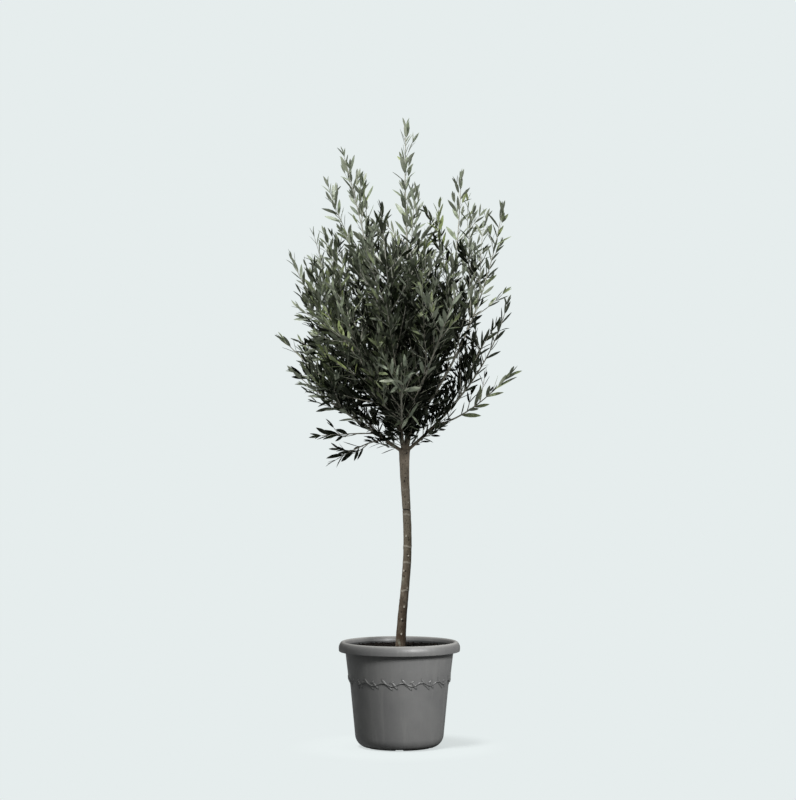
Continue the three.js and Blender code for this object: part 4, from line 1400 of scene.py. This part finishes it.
bark_finish, tree, shader = start_finish("young olive bark", 0.85, 0.2)
tone_and_light_ramp = place(tree, "ShaderNodeValToRGB", {"Fac": height_above_floor(tree)})
ramp = tone_and_light_ramp.color_ramp.elements
for number, (height, colour) in enumerate(BARK_TONES_AND_PAINTED_LIGHT):
    stop = ramp[0] if number == 0 else ramp.new(height)
    stop.position, stop.color = height, (*colour, 1)
ramp.remove(ramp[-1])
base = use_mottle(tree, 60, (tone_and_light_ramp.outputs["Color"], PATCH_BROWN), 0.42, 0.72, (1, 1, 0.45))
patch = use_mottle(tree, 30, (base["Color"], LICHEN_GREY), 0.58, 0.72, (1, 1, 0.6))
crack = use_mottle(tree, 240, (patch["Color"], CRACK_BLACK), 0.57, 0.66, (1, 1, 0.7))
marks = place(tree, "ShaderNodeAttribute", attribute_name="marks").outputs["Fac"]
# Knots are dark in their own colour; the ring groove's dark is painted shade.
knots_and_groove_shade = blend_colours(tree, remap(tree, marks, -1, 0, 1, 0), crack["Color"], KNOT_BLACK_AND_GROOVE_SHADE)
tree.links.new(blend_colours(tree, marks, knots_and_groove_shade, SCAR_PALE), shader.inputs["Base Color"])
add_bump(tree, shader, [(base["Height"], 0.6), (crack["Height"], 0.5)], 0.0016)

# %% [markdown]
# Where a side shoot was rubbed off, the bark closes over it as a pale dot with a raised lip,
# and a young stem carries one every few centimetres. A dot is a distance from a point on the
# skin, so it is worked out for all the skin's points at once: it raises them, and its value
# is kept on the mesh as an attribute that the material reads.

# %% Scars and rings
# Scars and knots: height on the bark, azimuth, size. Rings: height, how pale.
SCARS = [(402, -80, 2.4), (366, -96, 2.0), (324, -88, 2.3), (455, -60, 1.6)]
SCARS += [(505, -130, 2.2), (548, -75, 1.7), (604, -110, 2.0), (655, 60, 2.4), (420, 150, 2.6)]
SCARS += [(350, 100, 2.2), (480, 40, 2.0), (570, 170, 2.4), (700, -60, 1.8), (742, -120, 1.6)]
KNOTS = [(360, -78, 3.0), (386, -110, 2.4), (488, -118, 2.8), (503, -100, 2.1), (551, -88, 2.4)]
KNOTS += [(592, -70, 2.4), (760, -96, 2.7), (771, -84, 2.1), (716, -104, 1.9), (640, -120, 1.9)]
RINGS = [(575, 0.45), (529, 0.4), (449, 0.4), (666, 0.45), (737, 0.3)]
GROOVE = 679
SCAR_LIP, RING_RISE, GROOVE_DEPTH = 0.9, 0.4, 1.2
LIP_WIDTH, RING_PALE_WIDTH, RING_WIDTH, GROOVE_WIDTH = 1.4, 2.2, 3, 1.9


def away_from(skin, height, azimuth, stretch=1.0):
    """The distances of the skin's points from a spot on the bark."""
    along, turned_to = height - SOIL_HEIGHT, math.radians(azimuth)
    out = trunk_radius(along) * np.array([math.cos(turned_to), math.sin(turned_to), 0])
    return np.linalg.norm((skin - TrunkLine().at(along)[0] - out) * (1, 1, stretch), axis=1)


def marks_on(skin):
    """How pale (1) or dark (-1) each point of the bark is, and its lift in mm."""
    pale, lift = np.zeros(len(skin)), np.zeros(len(skin))
    waver = 1.6 * np.sin(skin[:, 0] / 4) + 1.1 * np.sin(skin[:, 1] / 3)
    for height, azimuth, size in SCARS:
        away = away_from(skin, height, azimuth, 0.8)
        pale = np.maximum(pale, 0.95 * np.exp(-((away / size) ** 4)))
        lift += SCAR_LIP * np.exp(-(((away - size) / LIP_WIDTH) ** 2))
    for height, strength in RINGS:
        level = skin[:, 2] - height + waver
        pale = np.maximum(pale, strength * np.exp(-((level / RING_PALE_WIDTH) ** 2)))
        lift += RING_RISE * np.exp(-((level / RING_WIDTH) ** 2))
    # The ring groove is darkened as painted shade.
    dark = np.exp(-(((skin[:, 2] - GROOVE + 0.5 * waver) / GROOVE_WIDTH) ** 2))
    for height, azimuth, size in KNOTS:
        away = away_from(skin, height, azimuth)
        dark = np.maximum(dark, 0.9 * np.exp(-((away / size) ** 4)))
    return pale - dark, lift - GROOVE_DEPTH * dark


print("scars, knots and rings:", len(SCARS), len(KNOTS), len(RINGS))

# %% [markdown]
# The remesh modifier fills the rough tubes with small cubes and wraps them in one skin, and a
# smooth modifier rounds the steps. Then each point moves along its own normal by the marks and
# a noise that is drawn out along the wood and weaker on the boughs than on the trunk.

# %% Melt the wood into one skin
VOXEL = 0.00125  # metres
TRUNK_GRAIN, BOUGH_GRAIN = 0.45, 0.22

bark = make_piece("trunk_and_boughs", *join_tubes(wood_tubes), [bark_finish])
remesh = bark.modifiers.new("melt", "REMESH")
remesh.mode, remesh.voxel_size = "VOXEL", VOXEL
remesh.use_smooth_shade = True
smooth = bark.modifiers.new("soften", "SMOOTH")
smooth.factor, smooth.iterations = 0.5, 6
bpy.context.view_layer.objects.active = bark
for modifier in ("melt", "soften"):
    bpy.ops.object.modifier_apply(modifier=modifier)
mesh = bark.data
skin = np.empty(3 * len(mesh.vertices), dtype=np.float32)
mesh.vertices.foreach_get("co", skin)
outward = np.empty_like(skin)
mesh.vertices.foreach_get("normal", outward)
skin, outward = skin.reshape(-1, 3) / MM, outward.reshape(-1, 3)
marks, relief = marks_on(skin)
for number, (x, y, z) in enumerate(skin):
    grain = noise.fractal((x / 5, y / 5, z / 26), 1.0, 2.0, 4)
    lumps = noise.noise((x / 14, y / 14, z / 30))
    relief[number] += (TRUNK_GRAIN if z < TRUNK_TOP else BOUGH_GRAIN) * (grain + 0.5 * lumps)
skin = (skin + outward * relief[:, None]) * MM
mesh.vertices.foreach_set("co", skin.astype(np.float32).ravel())
keep_on_points(bark, "marks", marks)
mesh.update()
if not mesh.materials:
    mesh.materials.append(bark_finish)
mesh.shade_smooth()
hand_over(bark, "bark", "trunk", *["bough_" + name for name in limbs])

# %% [markdown]
# ## The studio
# The tree stands before a plain pale backdrop with no visible horizon. The sky that lights the
# tree is bright above and dim below, which keeps the heart and the underside of the crown dark.
# The Light Path node tells the camera's rays from the light's, so the backdrop can have its
# own plain colour and the sky still light the tree as it should.

# %% Backdrop and sky
BACKDROP = (0.791, 0.847, 0.847, 1)
SKY_TINT = (0.99, 1.0, 0.98, 1)
SKY_BELOW, SKY_ABOVE = 0.03, 1.3


def for_the_camera(tree, seen, unseen):
    """One shader for the camera's own rays and another for all light."""
    eye = place(tree, "ShaderNodeLightPath").outputs["Is Camera Ray"]
    return place(tree, "ShaderNodeMixShader", {0: eye, 1: unseen, 2: seen}).outputs[0]


world = bpy.data.worlds.new("studio")
bpy.context.scene.world = world
world.use_nodes = True
tree = world.node_tree
tree.nodes.clear()
seen = place(tree, "ShaderNodeBackground", {"Color": BACKDROP, "Strength": 1.0}).outputs[0]
way = place(tree, "ShaderNodeTexCoord").outputs["Generated"]
climb = place(tree, "ShaderNodeSeparateXYZ", {0: way}).outputs["Z"]
sky = remap(tree, climb, -0.1, 1.0, SKY_BELOW, SKY_ABOVE)
light = place(tree, "ShaderNodeBackground", {"Color": SKY_TINT, "Strength": sky}).outputs[0]
surface = for_the_camera(tree, seen, light)
place(tree, "ShaderNodeOutputWorld", {"Surface": surface})
print("sky strength:", SKY_BELOW, "below to", SKY_ABOVE, "above")

# %% [markdown]
# A studio's sweep is paper that curves up behind the object, so that no edge shows. Here the
# floor is flat and glows with the backdrop's colour for the camera, with a share of real matt
# surface close to the pot that takes its soft shadow. For all other light it is a plain grey
# floor.

# %% The sweep
FLOOR_NEAR, FLOOR_FAR = 0.19, 0.34
MATT_SHARE = 0.25
MATT_GREY, FLOOR_GREY = (0.415, 0.445, 0.444, 1), (0.18, 0.187, 0.187, 1)
FLOOR_RINGS, FLOOR_SIDES = np.array([0.01, 400, 900, 2000, 6000, 30000.0]), 64
FLOOR_DROP = 0.2

floor_finish = bpy.data.materials.new("pale sweep")
floor_finish.use_nodes = True
tree = floor_finish.node_tree
tree.nodes.clear()
where = place(tree, "ShaderNodeTexCoord").outputs["Object"]
reach = place(tree, "ShaderNodeVectorMath", {0: where}, operation="LENGTH").outputs["Value"]
span = (FLOOR_NEAR, FLOOR_FAR, MATT_SHARE, 0.0)
near = remap(tree, reach, *span, interpolation_type="SMOOTHSTEP")
matt = place(tree, "ShaderNodeBsdfDiffuse", {"Color": MATT_GREY}).outputs[0]
glow = place(tree, "ShaderNodeEmission", {"Color": BACKDROP, "Strength": 1.0}).outputs[0]
seen_floor = place(tree, "ShaderNodeMixShader", {0: near, 1: glow, 2: matt}).outputs[0]
lit_floor = place(tree, "ShaderNodeBsdfDiffuse", {"Color": FLOOR_GREY}).outputs[0]
surface = for_the_camera(tree, seen_floor, lit_floor)
place(tree, "ShaderNodeOutputMaterial", {"Surface": surface})

level = np.full(len(FLOOR_RINGS), -FLOOR_DROP)
points, quads = turn(np.stack([FLOOR_RINGS, level], 1), FLOOR_SIDES)
floor = make_piece("floor", points, quads, materials=[floor_finish])
print("floor radius:", FLOOR_RINGS[-1] * MM, "m")

# %% [markdown]
# Two lamps do the rest. A broad sun high on the left picks out the leaves and throws the soft
# shadow. A soft box, low on the right, models the pot's wall from the other side. Each lights
# its own pieces only, which Cycles calls light linking: the box lights the pot and its
# garland, and the sun lights the tree, the soil and the floor.

# %% Lamps
BOX_WAY, BOX_HEIGHT, BOX_DISTANCE = (0.5, -0.83, 0.6), 0.18, 1.9
BOX_WATTS, BOX_SIDES = 120.0, (0.7, 0.5)
SUN_WAY, SUN_SPREAD, SUN_STRENGTH = (-0.42, -0.68, 1.3), 14, 5.4


def hang_lamp(name, kind, energy, toward):
    """A lamp that shines from a direction towards the middle."""
    lamp = bpy.data.lights.new(name, kind)
    lamp.energy = energy
    holder = bpy.data.objects.new(name, lamp)
    holder.rotation_euler = Vector(toward).to_track_quat("Z", "Y").to_euler()
    bpy.context.scene.collection.objects.link(holder)
    return holder


sun = hang_lamp("high sun", "SUN", SUN_STRENGTH, SUN_WAY)
sun.data.angle = math.radians(SUN_SPREAD)
box = hang_lamp("soft box", "AREA", BOX_WATTS, BOX_WAY)
box.location = np.array(BOX_WAY) * BOX_DISTANCE + (0, 0, BOX_HEIGHT)
box.data.shape = "RECTANGLE"
box.data.size, box.data.size_y = BOX_SIDES
lit_by_box = bpy.data.collections.new("lit by the soft box")
lit_by_sun = bpy.data.collections.new("lit by the high sun")
pieces = [piece for piece in bpy.context.scene.objects if piece.type == "MESH"]
for piece in pieces:
    (lit_by_box if piece in (pot, garland_piece) else lit_by_sun).objects.link(piece)
box.light_linking.receiver_collection = lit_by_box
sun.light_linking.receiver_collection = lit_by_sun

# %% [markdown]
# The camera stands well back with a long lens, at a little over half the tree's height and
# dead level, so that the stem stays upright and the pot's mouth shows as a thin ellipse.

# %% Camera
EYE = (-0.004, -7.373, 0.993)
LENS, SENSOR = 115.8, 36

camera_data = bpy.data.cameras.new("camera")
camera_data.lens, camera_data.sensor_width = LENS, SENSOR
camera = bpy.data.objects.new("camera", camera_data)
camera.location = EYE
camera.rotation_euler = (math.pi / 2, 0, 0)
bpy.context.scene.collection.objects.link(camera)
bpy.context.scene.camera = camera
bpy.context.scene.view_settings.view_transform = "Standard"
bpy.context.scene.view_settings.look = "None"
print("camera at", EYE)
